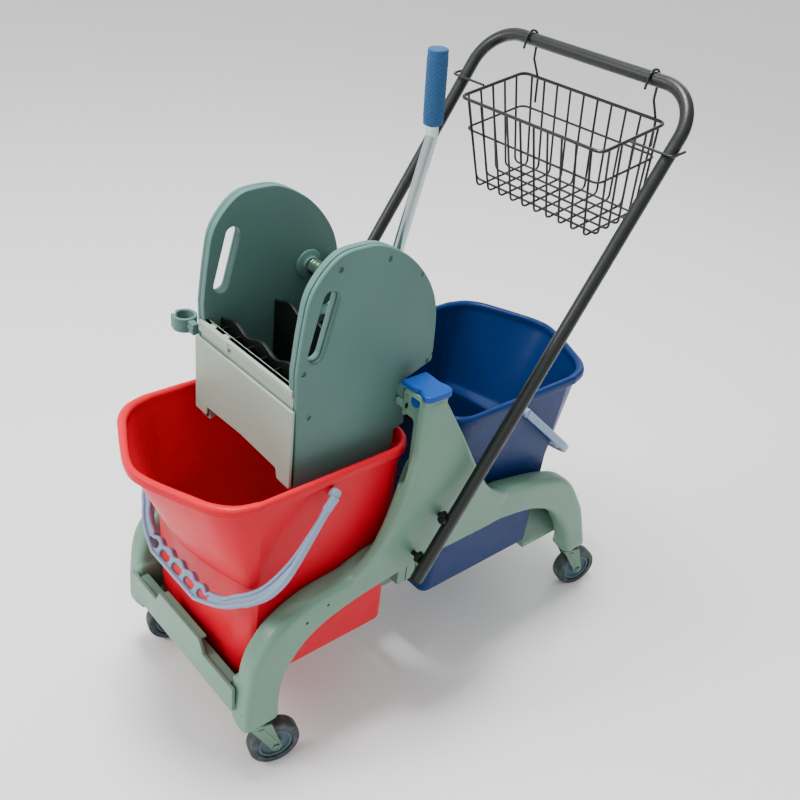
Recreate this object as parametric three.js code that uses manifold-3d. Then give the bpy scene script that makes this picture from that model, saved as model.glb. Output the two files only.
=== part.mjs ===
// Two-bucket mop trolley with a lift-off wringer, push handle and wire basket.
// Millimetres. +Z is up, -Y is the front (red bucket), +Y is the rear (push handle), z = 0 is the floor.
import * as THREE from 'three';
import { mergeVertices } from 'three/addons/utils/BufferGeometryUtils.js';
import Module from 'manifold-3d';

const wasm = await Module();
wasm.setup();

// ---------------------------------------------------------------- driving dimensions
const GAP = 0.3;                 // clearance kept between pieces that touch
const CENTRE_SHIFT = 21.12;      // moves the middle of the trolley's length onto the origin

const SIDE_INNER = 139;          // side frames: inner and outer faces of the beam
const SIDE_OUTER = 178;
const LEG_BOTTOM = 100;
const TOWER_INNER = 158;         // the tower stands outside the bucket's rim
const TOWER_OUTER = 190;
const TOWER_FRONT = -118;
const TOWER_REAR = -76;
const TOWER_TOP = 592;
const CAP_INNER = 134;           // inner edge of the tower's lid
const SEAT_TOP = 566;            // seat on the tower that the wringer's tongue rests on
const TONGUE_END = 133.4;        // stops short of the lid, so that the wringer lifts straight out

const BUCKET_BOTTOM = 137;
const BUCKET_RIM = 499;
const RED_FLAT_EDGE = -86;       // y of the rim's straight short side
const BLUE_FLAT_EDGE = -17;

const HANDLE_HALF_WIDTH = 208;
const HANDLE_RADIUS = 10;
const HANDLE_FOOT = new THREE.Vector2(-110, 288);   // y and z of the lower end
const HANDLE_TOP = new THREE.Vector2(322.7, 961.8);
const HANDLE_BEND = 66;

const WHEEL_RADIUS = 40;
const CASTER_TRAIL = 28;
const CASTER_REST_ANGLE = -15 * Math.PI / 180;
const STEM_X = 155;
const STEM_Y = { front: -352, rear: 347 };

const PANEL_INNER = 102;         // wringer side panels: inner shell, then outer cover
const PANEL_SPLIT = 112;
const PANEL_OUTER = 120;
const SHAFT_Y = -109;
const SHAFT_Z = 674;
const SHAFT_RADIUS = 8;
const LEVER_X = 65;

const BASKET_HALF_LENGTH = 147;
const BASKET_HALF_WIDTH = 74;
const BASKET_DEPTH = 150;
const BASKET_CENTRE = new THREE.Vector3(0, 274.5, 888.5);
const BASKET_TILT = 10.5 * Math.PI / 180;
const HOOK_X = 120;
const WIRE_RADIUS = 2;

// ---------------------------------------------------------------- materials
const finish = (color, roughness, metalness = 0) =>
  new THREE.MeshStandardMaterial({ color, roughness, metalness });

const frameGrey = finish(0xa7bcb0, 0.45);
const panelGrey = finish(0x7c938e, 0.5);
const frontGrey = finish(0xaab3ab, 0.5);
const redPlastic = finish(0xc8202a, 0.4);
const bluePlastic = finish(0x274f8e, 0.4);
const capBlue = finish(0x2c5f9f, 0.45);
const bailGrey = finish(0xa2b2c6, 0.45);
const darkPaint = finish(0x39443c, 0.4, 0.3);
const chrome = finish(0xc9cfcc, 0.15, 1);
const gripBlue = finish(0x3b6291, 0.6);
const blackPlastic = finish(0x1f2322, 0.5);
const tyreRubber = finish(0x3a3f3e, 0.75);
const hubPlastic = finish(0x47566a, 0.5);
const zincSteel = finish(0x9fb0a5, 0.4, 0.7);

// ---------------------------------------------------------------- solids and booleans
const X_AXIS = new THREE.Vector3(1, 0, 0);
const Y_AXIS = new THREE.Vector3(0, 1, 0);
const Z_AXIS = new THREE.Vector3(0, 0, 1);

function solid(geometry) {
  const bare = geometry.clone();
  bare.deleteAttribute('normal');
  bare.deleteAttribute('uv');
  const merged = mergeVertices(bare, 1e-4);
  return new wasm.Manifold(new wasm.Mesh({
    numProp: 3,
    vertProperties: new Float32Array(merged.attributes.position.array),
    triVerts: new Uint32Array(merged.index.array),
  }));
}

function geometryOf(manifold) {
  const mesh = manifold.getMesh();
  const geometry = new THREE.BufferGeometry();
  geometry.setAttribute('position', new THREE.BufferAttribute(new Float32Array(mesh.vertProperties), 3));
  geometry.setIndex(new THREE.BufferAttribute(new Uint32Array(mesh.triVerts), 1));
  return geometry;
}

const join = (...pieces) => geometryOf(pieces.map(solid).reduce((a, b) => a.add(b)));
const cut = (body, ...tools) => geometryOf(tools.map(solid).reduce((a, b) => a.subtract(b), solid(body)));

function box(x0, x1, y0, y1, z0, z1) {
  const geometry = new THREE.BoxGeometry(x1 - x0, y1 - y0, z1 - z0);
  return geometry.translate((x0 + x1) / 2, (y0 + y1) / 2, (z0 + z1) / 2);
}

// A cylinder from centre - length / 2 to centre + length / 2 along the given axis.
function rod(axis, centre, radius, length, sides = 20) {
  const geometry = new THREE.CylinderGeometry(radius, radius, length, sides);
  geometry.applyQuaternion(new THREE.Quaternion().setFromUnitVectors(Y_AXIS, axis));
  return geometry.translate(...centre);
}

const polygon = (points) => new THREE.Shape(points.map(([a, b]) => new THREE.Vector2(a, b)));

// Extrudes a (y, z) outline from x0 to x1, with both edges rounded over by `round`.
function alongX(shape, x0, x1, round = 0, curveSegments = 5) {
  const geometry = new THREE.ExtrudeGeometry(shape, {
    depth: x1 - x0 - 2 * round,
    bevelEnabled: round > 0,
    bevelThickness: round,
    bevelSize: round,
    bevelOffset: -round,
    bevelSegments: 1,
    curveSegments,
  });
  geometry.applyMatrix4(new THREE.Matrix4().makeBasis(Y_AXIS, Z_AXIS, X_AXIS));
  return geometry.translate(x0 + round, 0, 0);
}

// Extrudes an (x, z) outline from y0 to y1.
function alongY(shape, y0, y1, curveSegments = 6) {
  const geometry = new THREE.ExtrudeGeometry(shape, { depth: y1 - y0, bevelEnabled: false, curveSegments });
  geometry.rotateX(Math.PI / 2);
  return geometry.translate(0, y1, 0);
}

// Extrudes an (x, y) outline from z0 to z1.
function alongZ(shape, z0, z1, curveSegments = 8) {
  const geometry = new THREE.ExtrudeGeometry(shape, { depth: z1 - z0, bevelEnabled: false, curveSegments });
  return geometry.translate(0, 0, z0);
}

// Mirrors a solid from +X to -X and turns its faces the right way out again.
function mirrored(geometry) {
  const copy = geometry.index ? geometry.toNonIndexed() : geometry.clone();
  const position = copy.attributes.position;
  for (let i = 0; i < position.count; i += 3) {
    const [a, b, c] = [0, 1, 2].map((k) => new THREE.Vector3().fromBufferAttribute(position, i + k));
    [a, c, b].forEach((v, k) => position.setXYZ(i + k, -v.x, v.y, v.z));
  }
  copy.deleteAttribute('normal');
  return copy;
}

// A path through corner points, each corner turned with its own radius.
function roundedPath(corners, radius, stepsPerBend = 6) {
  const points = [corners[0]];
  for (let i = 1; i < corners.length - 1; i += 1) {
    const toPrevious = corners[i - 1].clone().sub(corners[i]).normalize();
    const toNext = corners[i + 1].clone().sub(corners[i]).normalize();
    const halfAngle = toPrevious.angleTo(toNext) / 2;
    const setback = radius / Math.tan(halfAngle);
    const start = corners[i].clone().addScaledVector(toPrevious, setback);
    const end = corners[i].clone().addScaledVector(toNext, setback);
    const bisector = toPrevious.clone().add(toNext).normalize();
    const centre = corners[i].clone().addScaledVector(bisector, radius / Math.sin(halfAngle));
    const from = start.clone().sub(centre);
    const to = end.clone().sub(centre);
    const sweep = from.angleTo(to);
    for (let k = 0; k <= stepsPerBend; k += 1) {
      const t = k / stepsPerBend;
      const a = Math.sin((1 - t) * sweep) / Math.sin(sweep);
      const b = Math.sin(t * sweep) / Math.sin(sweep);
      points.push(centre.clone().addScaledVector(from, a).addScaledVector(to, b));
    }
  }
  points.push(corners[corners.length - 1]);
  return points;
}

// Joins straight stretches between points into one curve for sweeping.
function pathCurve(points) {
  const curve = new THREE.CurvePath();
  for (let i = 1; i < points.length; i += 1) curve.add(new THREE.LineCurve3(points[i - 1], points[i]));
  return curve;
}

function tube(points, radius, steps, sides = 10) {
  const section = new THREE.Shape().absarc(0, 0, radius, 0, 2 * Math.PI);
  return new THREE.ExtrudeGeometry(section, {
    steps,
    curveSegments: sides / 2,
    extrudePath: new THREE.CatmullRomCurve3(pathCurve(points).getSpacedPoints(steps), false, 'centripetal'),
  });
}

// A closed skin through rings of points, each ring with the same count, capped at both ends.
function ringSkin(rings) {
  const count = rings[0].length;
  const positions = rings.flat().flatMap((p) => [p.x, p.y, p.z]);
  const index = [];
  for (let r = 0; r < rings.length - 1; r += 1) {
    for (let i = 0; i < count; i += 1) {
      const j = (i + 1) % count;
      const low = r * count;
      const high = low + count;
      index.push(low + i, low + j, high + j, low + i, high + j, high + i);
    }
  }
  [[0, true], [rings.length - 1, false]].forEach(([r, flip]) => {
    const middle = rings[r].reduce((sum, p) => sum.add(p), new THREE.Vector3()).divideScalar(count);
    positions.push(middle.x, middle.y, middle.z);
    const hub = positions.length / 3 - 1;
    for (let i = 0; i < count; i += 1) {
      const [a, b] = [r * count + i, r * count + (i + 1) % count];
      index.push(hub, ...(flip ? [b, a] : [a, b]));
    }
  });
  const geometry = new THREE.BufferGeometry();
  geometry.setAttribute('position', new THREE.Float32BufferAttribute(positions, 3));
  geometry.setIndex(index);
  return geometry;
}

function lathe(profile, axis, centre, segments = 32) {
  const geometry = new THREE.LatheGeometry(profile.map(([r, h]) => new THREE.Vector2(r, h)), segments);
  geometry.applyQuaternion(new THREE.Quaternion().setFromUnitVectors(Y_AXIS, axis));
  return geometry.translate(...centre);
}

// Closed ring of rectangular section, inner to outer radius, centred on its axis.
const sleeve = (axis, centre, inner, outer, width, segments = 32) => lathe([
  [inner, -width / 2], [outer, -width / 2], [outer, width / 2], [inner, width / 2], [inner, -width / 2],
], axis, centre, segments);

// ---------------------------------------------------------------- assembly
const trolley = new THREE.Group();
trolley.position.y = CENTRE_SHIFT;

function add(name, geometry, material, parent = trolley) {
  const mesh = new THREE.Mesh(geometry, material);
  mesh.name = name;
  parent.add(mesh);
  return mesh;
}

const SIDES = [['left', -1], ['right', 1]];

// ---------------------------------------------------------------- side frames
const splinePoints = (points) => points.map(([a, b]) => new THREE.Vector2(a, b));

// Beam and both legs, seen from the side.
function beamOutline() {
  const shape = new THREE.Shape();
  shape.moveTo(-325, LEG_BOTTOM);
  shape.lineTo(-325, 140);
  shape.splineThru(splinePoints([[-316, 190], [-275, 239], [-208, 264], [-99, 280]]));
  shape.lineTo(101, 282);
  shape.splineThru(splinePoints([[178, 268], [242, 236], [291, 179], [321, 112]]));
  shape.lineTo(323, LEG_BOTTOM);
  shape.lineTo(375, LEG_BOTTOM);
  shape.splineThru(splinePoints([[345, 183], [328, 219], [278, 288], [213, 319], [114, 341]]));
  shape.lineTo(0, 350);
  shape.lineTo(-166, 330);
  shape.lineTo(-211, 315);
  shape.splineThru(splinePoints([[-274, 308], [-323, 289], [-353, 264], [-375, 222], [-384, 150]]));
  shape.lineTo(-385, LEG_BOTTOM);
  return shape;
}

// Leaning web and upright head of the tower.
function towerOutline() {
  const shape = new THREE.Shape();
  shape.moveTo(-211, 290);
  shape.lineTo(80, 290);
  shape.lineTo(105, 340);
  shape.splineThru(splinePoints([[80, 352], [50, 378], [10, 436]]));
  shape.lineTo(-31, 507);
  shape.lineTo(-66, 564);
  shape.lineTo(TOWER_REAR, 580);
  shape.lineTo(TOWER_REAR, TOWER_TOP);
  shape.lineTo(TOWER_FRONT, TOWER_TOP);
  shape.lineTo(TOWER_FRONT, 500);
  shape.splineThru(splinePoints([[-138, 416], [-166, 350], [-205, 316]]));
  return shape;
}

const BOLT_HEIGHTS = { lower: 312, upper: 372 };
const BOLT_RADIUS = 4;
const handleY = (z) => HANDLE_FOOT.x + (z - HANDLE_FOOT.y) * (HANDLE_TOP.x - HANDLE_FOOT.x)
  / (HANDLE_TOP.y - HANDLE_FOOT.y);

function sideFrame() {
  const beam = alongX(beamOutline(), SIDE_INNER, SIDE_OUTER, 8, 2);
  const tower = alongX(towerOutline(), TOWER_INNER, TOWER_OUTER, 6, 2);
  const head = box(SIDE_INNER, TOWER_INNER + 12, TOWER_FRONT, TOWER_REAR, 545, TOWER_TOP);
  const seat = box(124, SIDE_INNER + 4, -116, -80, SEAT_TOP - 10, SEAT_TOP);
  const frontLeg = box(133, SIDE_INNER + 12, -382, -328, LEG_BOTTOM, 190);
  const rearLeg = box(133, SIDE_INNER + 12, 326, 366, LEG_BOTTOM, 178);
  const recess = box(146, 184, TOWER_FRONT - 5, TOWER_FRONT + 10, 395, 586);
  const stemHoles = [STEM_Y.front, STEM_Y.rear].map((y) =>
    rod(Z_AXIS, [STEM_X, y, LEG_BOTTOM + 10], 6.5, 44));
  const boltHoles = Object.values(BOLT_HEIGHTS).map((z) =>
    rod(X_AXIS, [TOWER_OUTER, handleY(z), z], BOLT_RADIUS + GAP, 40));
  const sideHoles = [[-255, 311], [-291, 296]].map(([y, z]) =>
    rod(X_AXIS, [SIDE_OUTER, y + 4, z - 22], 3, 12, 12));
  const body = join(beam, tower, head, seat, frontLeg, rearLeg);
  return cut(body, recess, ...stemHoles, ...boltHoles, ...sideHoles);
}

// Lid of the tower, wider than the tower, with a step in its front edge.
const towerCap = () => alongZ(polygon([
  [CAP_INNER, -76], [CAP_INNER, -119], [172, -119], [178, -122], [192, -122], [195, -116], [195, -80],
  [190, -74], [176, -74], [170, -76],
]), TOWER_TOP + GAP, TOWER_TOP + 10);

const towerPlug = () => rod(Y_AXIS, [157, TOWER_FRONT + 10 - GAP - 1.5, 577], 8, 3, 20);

const frameRight = sideFrame();
SIDES.forEach(([side, sign]) => {
  const placed = (geometry) => (sign > 0 ? geometry : mirrored(geometry));
  add(`side_frame_${side}`, placed(frameRight), frameGrey);
  add(`tower_cap_${side}`, placed(towerCap()), capBlue);
  add(`tower_plug_${side}`, placed(towerPlug()), capBlue);
});

// ---------------------------------------------------------------- crossbars
const LEDGE_TOP = BUCKET_BOTTOM - 0.4;
const LEDGE_BOTTOM = LEDGE_TOP - 12;
const BETWEEN_LEGS = 133 - GAP;

function frontCrossbar() {
  const face = polygon([
    [-150, 132], [150, 132], [150, 178], [70, 178], [58, 201], [-58, 201], [-70, 178], [-150, 178],
  ]);
  const plate = alongY(face, -391, -385 - GAP);
  const ledge = box(-BETWEEN_LEGS, BETWEEN_LEGS, -388, -318, LEDGE_BOTTOM, LEDGE_TOP);
  return join(plate, ledge);
}

// Hangs from both side frames in the gap between the buckets. Its narrow foot, out of sight under
// the buckets, carries the edge of each.
function middleCrossmember() {
  const hangers = [-1, 1].map((sign) => box(
    Math.min(sign * 118, sign * (SIDE_INNER - GAP)), Math.max(sign * 118, sign * (SIDE_INNER - GAP)),
    -80, -24, 206, 300,
  ));
  const beam = box(-120, 120, -60, -44, 206, 240);
  const web = box(-66, 66, -57, -47, LEDGE_BOTTOM, 210);
  const foot = box(-66, 66, -140, 36, LEDGE_BOTTOM, LEDGE_TOP);
  return join(...hangers, beam, web, foot);
}

function rearCrossbar() {
  const plate = box(-BETWEEN_LEGS, BETWEEN_LEGS, 350, 362, 132, 178);
  const ledge = box(-BETWEEN_LEGS, BETWEEN_LEGS, 240, 354, LEDGE_BOTTOM, LEDGE_TOP);
  return join(plate, ledge);
}

add('front_crossbar', frontCrossbar(), frameGrey);
add('middle_crossmember', middleCrossmember(), frameGrey);
add('rear_crossbar', rearCrossbar(), frameGrey);

// ---------------------------------------------------------------- push handle
const handleCorners = [
  new THREE.Vector3(HANDLE_HALF_WIDTH, HANDLE_FOOT.x, HANDLE_FOOT.y),
  new THREE.Vector3(HANDLE_HALF_WIDTH, HANDLE_TOP.x, HANDLE_TOP.y),
  new THREE.Vector3(-HANDLE_HALF_WIDTH, HANDLE_TOP.x, HANDLE_TOP.y),
  new THREE.Vector3(-HANDLE_HALF_WIDTH, HANDLE_FOOT.x, HANDLE_FOOT.y),
];
// The bolts come from inside the frame and stop within the tube, so its outer side stays plain.
const BOLT_TIP = HANDLE_HALF_WIDTH + 4;
const BOLT_START = 176;
const handleBoltHoles = SIDES.flatMap(([, sign]) => Object.values(BOLT_HEIGHTS).map((z) =>
  rod(X_AXIS, [sign * (BOLT_TIP + GAP - 10), handleY(z), z], BOLT_RADIUS + GAP, 20, 12)));
add('push_handle', cut(
  tube(roundedPath(handleCorners, HANDLE_BEND, 8), HANDLE_RADIUS, 52),
  ...handleBoltHoles,
), darkPaint);

const legDirection = new THREE.Vector3(0, HANDLE_TOP.x - HANDLE_FOOT.x, HANDLE_TOP.y - HANDLE_FOOT.y);
legDirection.normalize();

SIDES.forEach(([side, sign]) => {
  const foot = new THREE.Vector3(sign * HANDLE_HALF_WIDTH, HANDLE_FOOT.x, HANDLE_FOOT.y);
  const plugCentre = foot.clone().addScaledVector(legDirection, -2.5 - GAP);
  add(`handle_end_plug_${side}`, rod(legDirection, plugCentre.toArray(), HANDLE_RADIUS, 5), blackPlastic);
  Object.entries(BOLT_HEIGHTS).forEach(([level, z]) => {
    const at = (x) => [sign * x, handleY(z), z];
    const shank = rod(X_AXIS, at((BOLT_TIP + BOLT_START) / 2), BOLT_RADIUS, BOLT_TIP - BOLT_START, 8);
    const spacer = rod(X_AXIS, at((TOWER_OUTER + HANDLE_HALF_WIDTH - HANDLE_RADIUS) / 2), 9, 7, 10);
    add(`handle_bolt_${side}_${level}`, join(shank, spacer), blackPlastic);
  });
});

// ---------------------------------------------------------------- casters
// Each caster is built round its stem, trailing to +Y, then turned to its rest angle.
const FORK_TOP = LEG_BOTTOM - 1;

function casterFork() {
  const plate = box(-17, 17, -16, 20, FORK_TOP - 8, FORK_TOP);
  const cheekShape = polygon([
    [-16, FORK_TOP - 2], [20, FORK_TOP - 2], [CASTER_TRAIL + 9, 38], [CASTER_TRAIL + 4, 32],
    [CASTER_TRAIL - 4, 32], [CASTER_TRAIL - 9, 38],
  ]);
  const cheeks = [alongX(cheekShape, -17, -14.5), alongX(cheekShape, 14.5, 17)];
  const stem = rod(Z_AXIS, [0, 0, FORK_TOP + 14], 6, 34);
  const axleHole = rod(X_AXIS, [0, CASTER_TRAIL, WHEEL_RADIUS], 4 + GAP, 60, 16);
  return cut(join(plate, ...cheeks, stem), axleHole);
}

const wheelCentre = [0, CASTER_TRAIL, WHEEL_RADIUS];
const casterTyre = () => lathe([
  [29, -12], [37, -12], [40, -8], [40, 8], [37, 12], [29, 12], [29, -12],
], X_AXIS, wheelCentre, 24);
const casterHub = () => lathe([
  [4.3, -13], [11, -13], [12, -9], [28.7, -9], [28.7, 9], [12, 9], [11, 13], [4.3, 13], [4.3, -13],
], X_AXIS, wheelCentre, 20);

function casterAxle() {
  const heads = [-18.5, 18.5].map((x) => rod(X_AXIS, [x, CASTER_TRAIL, WHEEL_RADIUS], 6, 2.4, 16));
  return join(rod(X_AXIS, wheelCentre, 4, 38, 16), ...heads);
}

Object.entries(STEM_Y).forEach(([end, y]) => SIDES.forEach(([side, sign]) => {
  const caster = new THREE.Group();
  caster.position.set(sign * STEM_X, y, 0);
  caster.rotation.z = CASTER_REST_ANGLE;
  trolley.add(caster);
  const name = `caster_${end}_${side}`;
  add(`${name}_fork`, casterFork(), zincSteel, caster);
  add(`${name}_tyre`, casterTyre(), tyreRubber, caster);
  add(`${name}_hub`, casterHub(), hubPlastic, caster);
  add(`${name}_axle`, casterAxle(), zincSteel, caster);
}));

// ---------------------------------------------------------------- buckets
// Half of the pouring lip, from its tip to the straight side: fractions of half width and of lip depth.
const LIP = [
  [0, 1], [0.18, 0.95], [0.42, 0.81], [0.62, 0.675], [0.79, 0.55], [0.93, 0.34], [0.99, 0.07], [1, 0],
];

// One level of the bucket. `flat` is how far the straight short side sits in from the rim's,
// `shoulder` where the lip starts, and `tip` where it ends, all measured away from that side.
function bucketRing({ z, half, flat, shoulder, tip, corner }) {
  const shape = new THREE.Shape();
  const lipPoints = LIP.map(([u, v]) => new THREE.Vector2(u * half, shoulder + v * (tip - shoulder)));
  const mirroredLip = lipPoints.slice(1).map((p) => new THREE.Vector2(-p.x, p.y));
  const lip = new THREE.SplineCurve([...lipPoints.slice().reverse(), ...mirroredLip]);
  const arc = (cx, start) => [0, 1, 2, 3, 4].map((k) => {
    const angle = start + (k / 4) * Math.PI / 2;
    return new THREE.Vector2(cx + corner * Math.cos(angle), flat + corner + corner * Math.sin(angle));
  });
  const points = [
    ...arc(half - corner, -Math.PI / 2), ...lip.getPoints(14), ...arc(corner - half, Math.PI),
  ];
  return points.map((p) => new THREE.Vector3(p.x, p.y, z));
}

const WALL = 3;
const LIP_LEDGE = 340;           // below this height the front wall is set back
const WALL_TOP = 484;

// Size of the outer wall at height z.
function wallLevel(z) {
  const t = (z - BUCKET_BOTTOM) / (WALL_TOP - BUCKET_BOTTOM);
  const above = Math.max(0, (z - LIP_LEDGE) / (WALL_TOP - LIP_LEDGE));
  const below = Math.min(1, (z - BUCKET_BOTTOM) / (LIP_LEDGE - BUCKET_BOTTOM));
  const tip = z > LIP_LEDGE ? 300 + 63 * above : 276 + 6 * below;
  return {
    z, half: 131 + 6 * below + 9.5 * above, flat: 9 - t, shoulder: 256 + 6 * above, tip, corner: 16 + 24 * t,
  };
}

const inset = (level, by, z = level.z) => ({
  z, half: level.half - by, flat: level.flat + by, shoulder: level.shoulder - by, tip: level.tip - by,
  corner: level.corner,
});

function bucketShell() {
  const bottom = wallLevel(BUCKET_BOTTOM);
  const top = wallLevel(WALL_TOP);
  return ringSkin([
    inset(bottom, 6), inset(bottom, 0, BUCKET_BOTTOM + 6),
    wallLevel(LIP_LEDGE - 6), wallLevel(LIP_LEDGE + 1), top,
    inset(top, -8), inset(top, -8, BUCKET_RIM - 4), inset(top, -4, BUCKET_RIM),
    inset(top, 0, BUCKET_RIM - 2), inset(top, WALL),
    inset(wallLevel(LIP_LEDGE + 1), WALL), inset(wallLevel(LIP_LEDGE - 6), WALL),
    inset(bottom, WALL, BUCKET_BOTTOM + 9), inset(bottom, WALL + 6, BUCKET_BOTTOM + WALL),
  ].map(bucketRing));
}

// The bail turns on a pin through the wall under the rim.
const BAIL_PIVOT = { v: 154, z: 472 };
const BAIL_EYE_X = 157.2;
const BAIL_THICKNESS = 10;
const BAIL_ANGLE = { red: 50 * Math.PI / 180, blue: 43 * Math.PI / 180 };

function bucketWithPins() {
  const pins = [-1, 1].map((sign) =>
    rod(X_AXIS, [sign * (BAIL_EYE_X - 3.5), BAIL_PIVOT.v, BAIL_PIVOT.z], 4.5, 18, 12));
  return join(bucketShell(), ...pins);
}

// Bail drawn in its own plane: x across the bucket, s away from the pivot.
const BAIL_OUTER = [[163, 8], [176, 60], [174, 122], [158, 178], [118, 226], [60, 246]];
const BAIL_INNER = [[70, 222], [104, 208], [144, 170], [160, 118], [162, 60], [158.6, 14], [158.6, 8]];
const GRIP_HOLES = [-68, -34, 0, 34, 68];

function bail() {
  const negative = (points) => points.map(([x, s]) => [-x, s]);
  const band = polygon([
    ...BAIL_OUTER, ...negative(BAIL_OUTER).reverse(), ...negative(BAIL_INNER).reverse(), ...BAIL_INNER,
  ]);
  GRIP_HOLES.forEach((x) => {
    const hole = new THREE.Path();
    hole.absellipse(x, 235, 11, 5, 0, 2 * Math.PI, true);
    band.holes.push(hole);
  });
  const body = alongZ(band, -BAIL_THICKNESS / 2, BAIL_THICKNESS / 2, 4);
  const eyes = [-1, 1].map((sign) => rod(X_AXIS, [sign * BAIL_EYE_X, 0, 0], 9, 10, 16));
  const arms = [-1, 1].map((sign) => box(
    Math.min(sign * 158.6, sign * 163), Math.max(sign * 158.6, sign * 163), 0, 12, -5, 5,
  ));
  const pinHoles = [-1, 1].map((sign) => rod(X_AXIS, [sign * BAIL_EYE_X, 0, 0], 4.5 + GAP, 14, 12));
  return cut(join(body, ...eyes, ...arms), ...pinHoles);
}

// Local +Y runs from the bucket's straight short side to its pouring lip.
[['red', RED_FLAT_EDGE, Math.PI, redPlastic], ['blue', BLUE_FLAT_EDGE, 0, bluePlastic]]
  .forEach(([colour, flatEdge, turn, plastic]) => {
    const bucket = new THREE.Group();
    bucket.position.y = flatEdge;
    bucket.rotation.z = turn;
    trolley.add(bucket);
    add(`${colour}_bucket`, bucketWithPins(), plastic, bucket);
    const handle = add(`${colour}_bail`, bail(), bailGrey, bucket);
    handle.position.set(0, BAIL_PIVOT.v, BAIL_PIVOT.z);
    handle.rotation.x = -BAIL_ANGLE[colour];
  });

// ---------------------------------------------------------------- wringer
const WELL_HALF = PANEL_INNER - GAP;
const PANEL_FOOT = 470;

// Side panel seen from the side: round top, leaning front edge, stepped rear edge.
function panelOutline() {
  const shape = new THREE.Shape();
  shape.moveTo(-279, PANEL_FOOT);
  shape.lineTo(-285, 650);
  shape.splineThru(splinePoints([
    [-278, 712], [-267, 760], [-233, 797], [-194, 804], [-158, 799], [-112, 773], [-74, 731], [-55, 685],
  ]));
  shape.lineTo(-50, 617);
  shape.quadraticCurveTo(-51, 604, -66, 598);
  shape.lineTo(-96, 587);
  shape.lineTo(-90, 512);
  shape.lineTo(-108, 505);
  shape.lineTo(-108, PANEL_FOOT);
  return shape;
}

// Slanted hand slot through a side panel.
function handSlot() {
  const lower = new THREE.Vector2(-257, 672);
  const upper = new THREE.Vector2(-238.5, 743.5);
  const lean = Math.atan2(upper.x - lower.x, upper.y - lower.y);
  const half = 11.5;
  const slot = new THREE.Shape();
  slot.absarc(upper.x, upper.y, half, -lean, Math.PI - lean);
  slot.absarc(lower.x, lower.y, half, Math.PI - lean, 2 * Math.PI - lean);
  return alongX(slot, PANEL_INNER - 10, PANEL_OUTER + 10, 0, 6);
}

// The cover carries the tongue that rests on the tower's seat.
const panelCover = () => cut(
  join(
    alongX(panelOutline(), PANEL_SPLIT + GAP, PANEL_OUTER, 2.5, 2),
    box(PANEL_OUTER - 2, TONGUE_END, -112, -84, SEAT_TOP + GAP, 584),
  ),
  handSlot(),
);
const panelShell = () => cut(
  alongX(panelOutline(), PANEL_INNER, PANEL_SPLIT, 0, 2),
  handSlot(),
  box(PANEL_INNER - 5, PANEL_SPLIT + 5, -300, -274, PANEL_FOOT - 5, 625),
);

SIDES.forEach(([side, sign]) => {
  const placed = (geometry) => (sign > 0 ? geometry : mirrored(geometry));
  add(`wringer_cover_${side}`, placed(panelCover()), panelGrey);
  add(`wringer_shell_${side}`, placed(panelShell()), panelGrey);
  add(`shaft_hub_${side}`, sleeve(X_AXIS, [sign * (WELL_HALF - 4.5), SHAFT_Y, SHAFT_Z],
    SHAFT_RADIUS + GAP, 22, 9, 28), panelGrey);
});

const FRONT_PANEL_TOP = 623;
function frontPanel() {
  const half = PANEL_SPLIT - GAP;
  const face = polygon([
    [-half, 466], [-half + 24, 466], [-half + 24, 489], [0, 494], [half - 24, 489], [half - 24, 466],
    [half, 466], [half, FRONT_PANEL_TOP], [-half, FRONT_PANEL_TOP],
  ]);
  const sheet = alongY(face, -283, -274 - GAP);
  const apron = box(-half, half, -289, -280, 496, 575);
  const wings = box(0.5 - PANEL_OUTER, PANEL_OUTER - 0.5, -289, -283.4, 496, 575);
  return join(sheet, apron, wings);
}

const rearPanel = () => alongX(polygon([
  [-110, 472], [-104, 472], [-104, 589], [-60, 594], [-60, 676], [-65, 676], [-65, 599], [-110, 594],
]), -WELL_HALF, WELL_HALF);

function drainGrid() {
  const plate = box(-WELL_HALF, WELL_HALF, -273.5, -110 - GAP, 484, 490);
  const slots = [-72, -36, 0, 36, 72].map((x) => box(x - 5, x + 5, -250, -130, 480, 495));
  return cut(plate, ...slots);
}

// Ribbed plate that faces the mop; its ribs stand on the far side from `faceY`.
function pressPlate(faceY, away, bottom, top) {
  const thickness = 5;
  const rib = 14;
  const half = WELL_HALF - 2;
  const wave = polygon([
    [-half, bottom], [half, bottom], [half, top - 6], [half * 0.6, top - 12], [0, top - 3],
    [-half * 0.6, top - 12], [-half, top],
  ]);
  const [y0, y1] = [faceY, faceY + away * thickness].sort((a, b) => a - b);
  const [r0, r1] = [faceY + away * 2, faceY + away * (thickness + rib)].sort((a, b) => a - b);
  const ribs = [-80, -48, -16, 16, 48, 80].map((x) => box(x - 1.5, x + 1.5, r0, r1, bottom + 4, top - 16));
  return join(alongY(wave, y0, y1), ...ribs);
}

const ARM_X = 40;
const ARM_LENGTH = 62;
const ARM_REST = 20 * Math.PI / 180;      // behind straight down
const ROLLER_RADIUS = 7;

function movingPressPlate() {
  const lugs = [-1, 1].map((sign) => box(sign * ARM_X - 8, sign * ARM_X + 8, -152, -97, 600, 617));
  return join(pressPlate(-168, 1, 496, 640), ...lugs);
}

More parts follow.
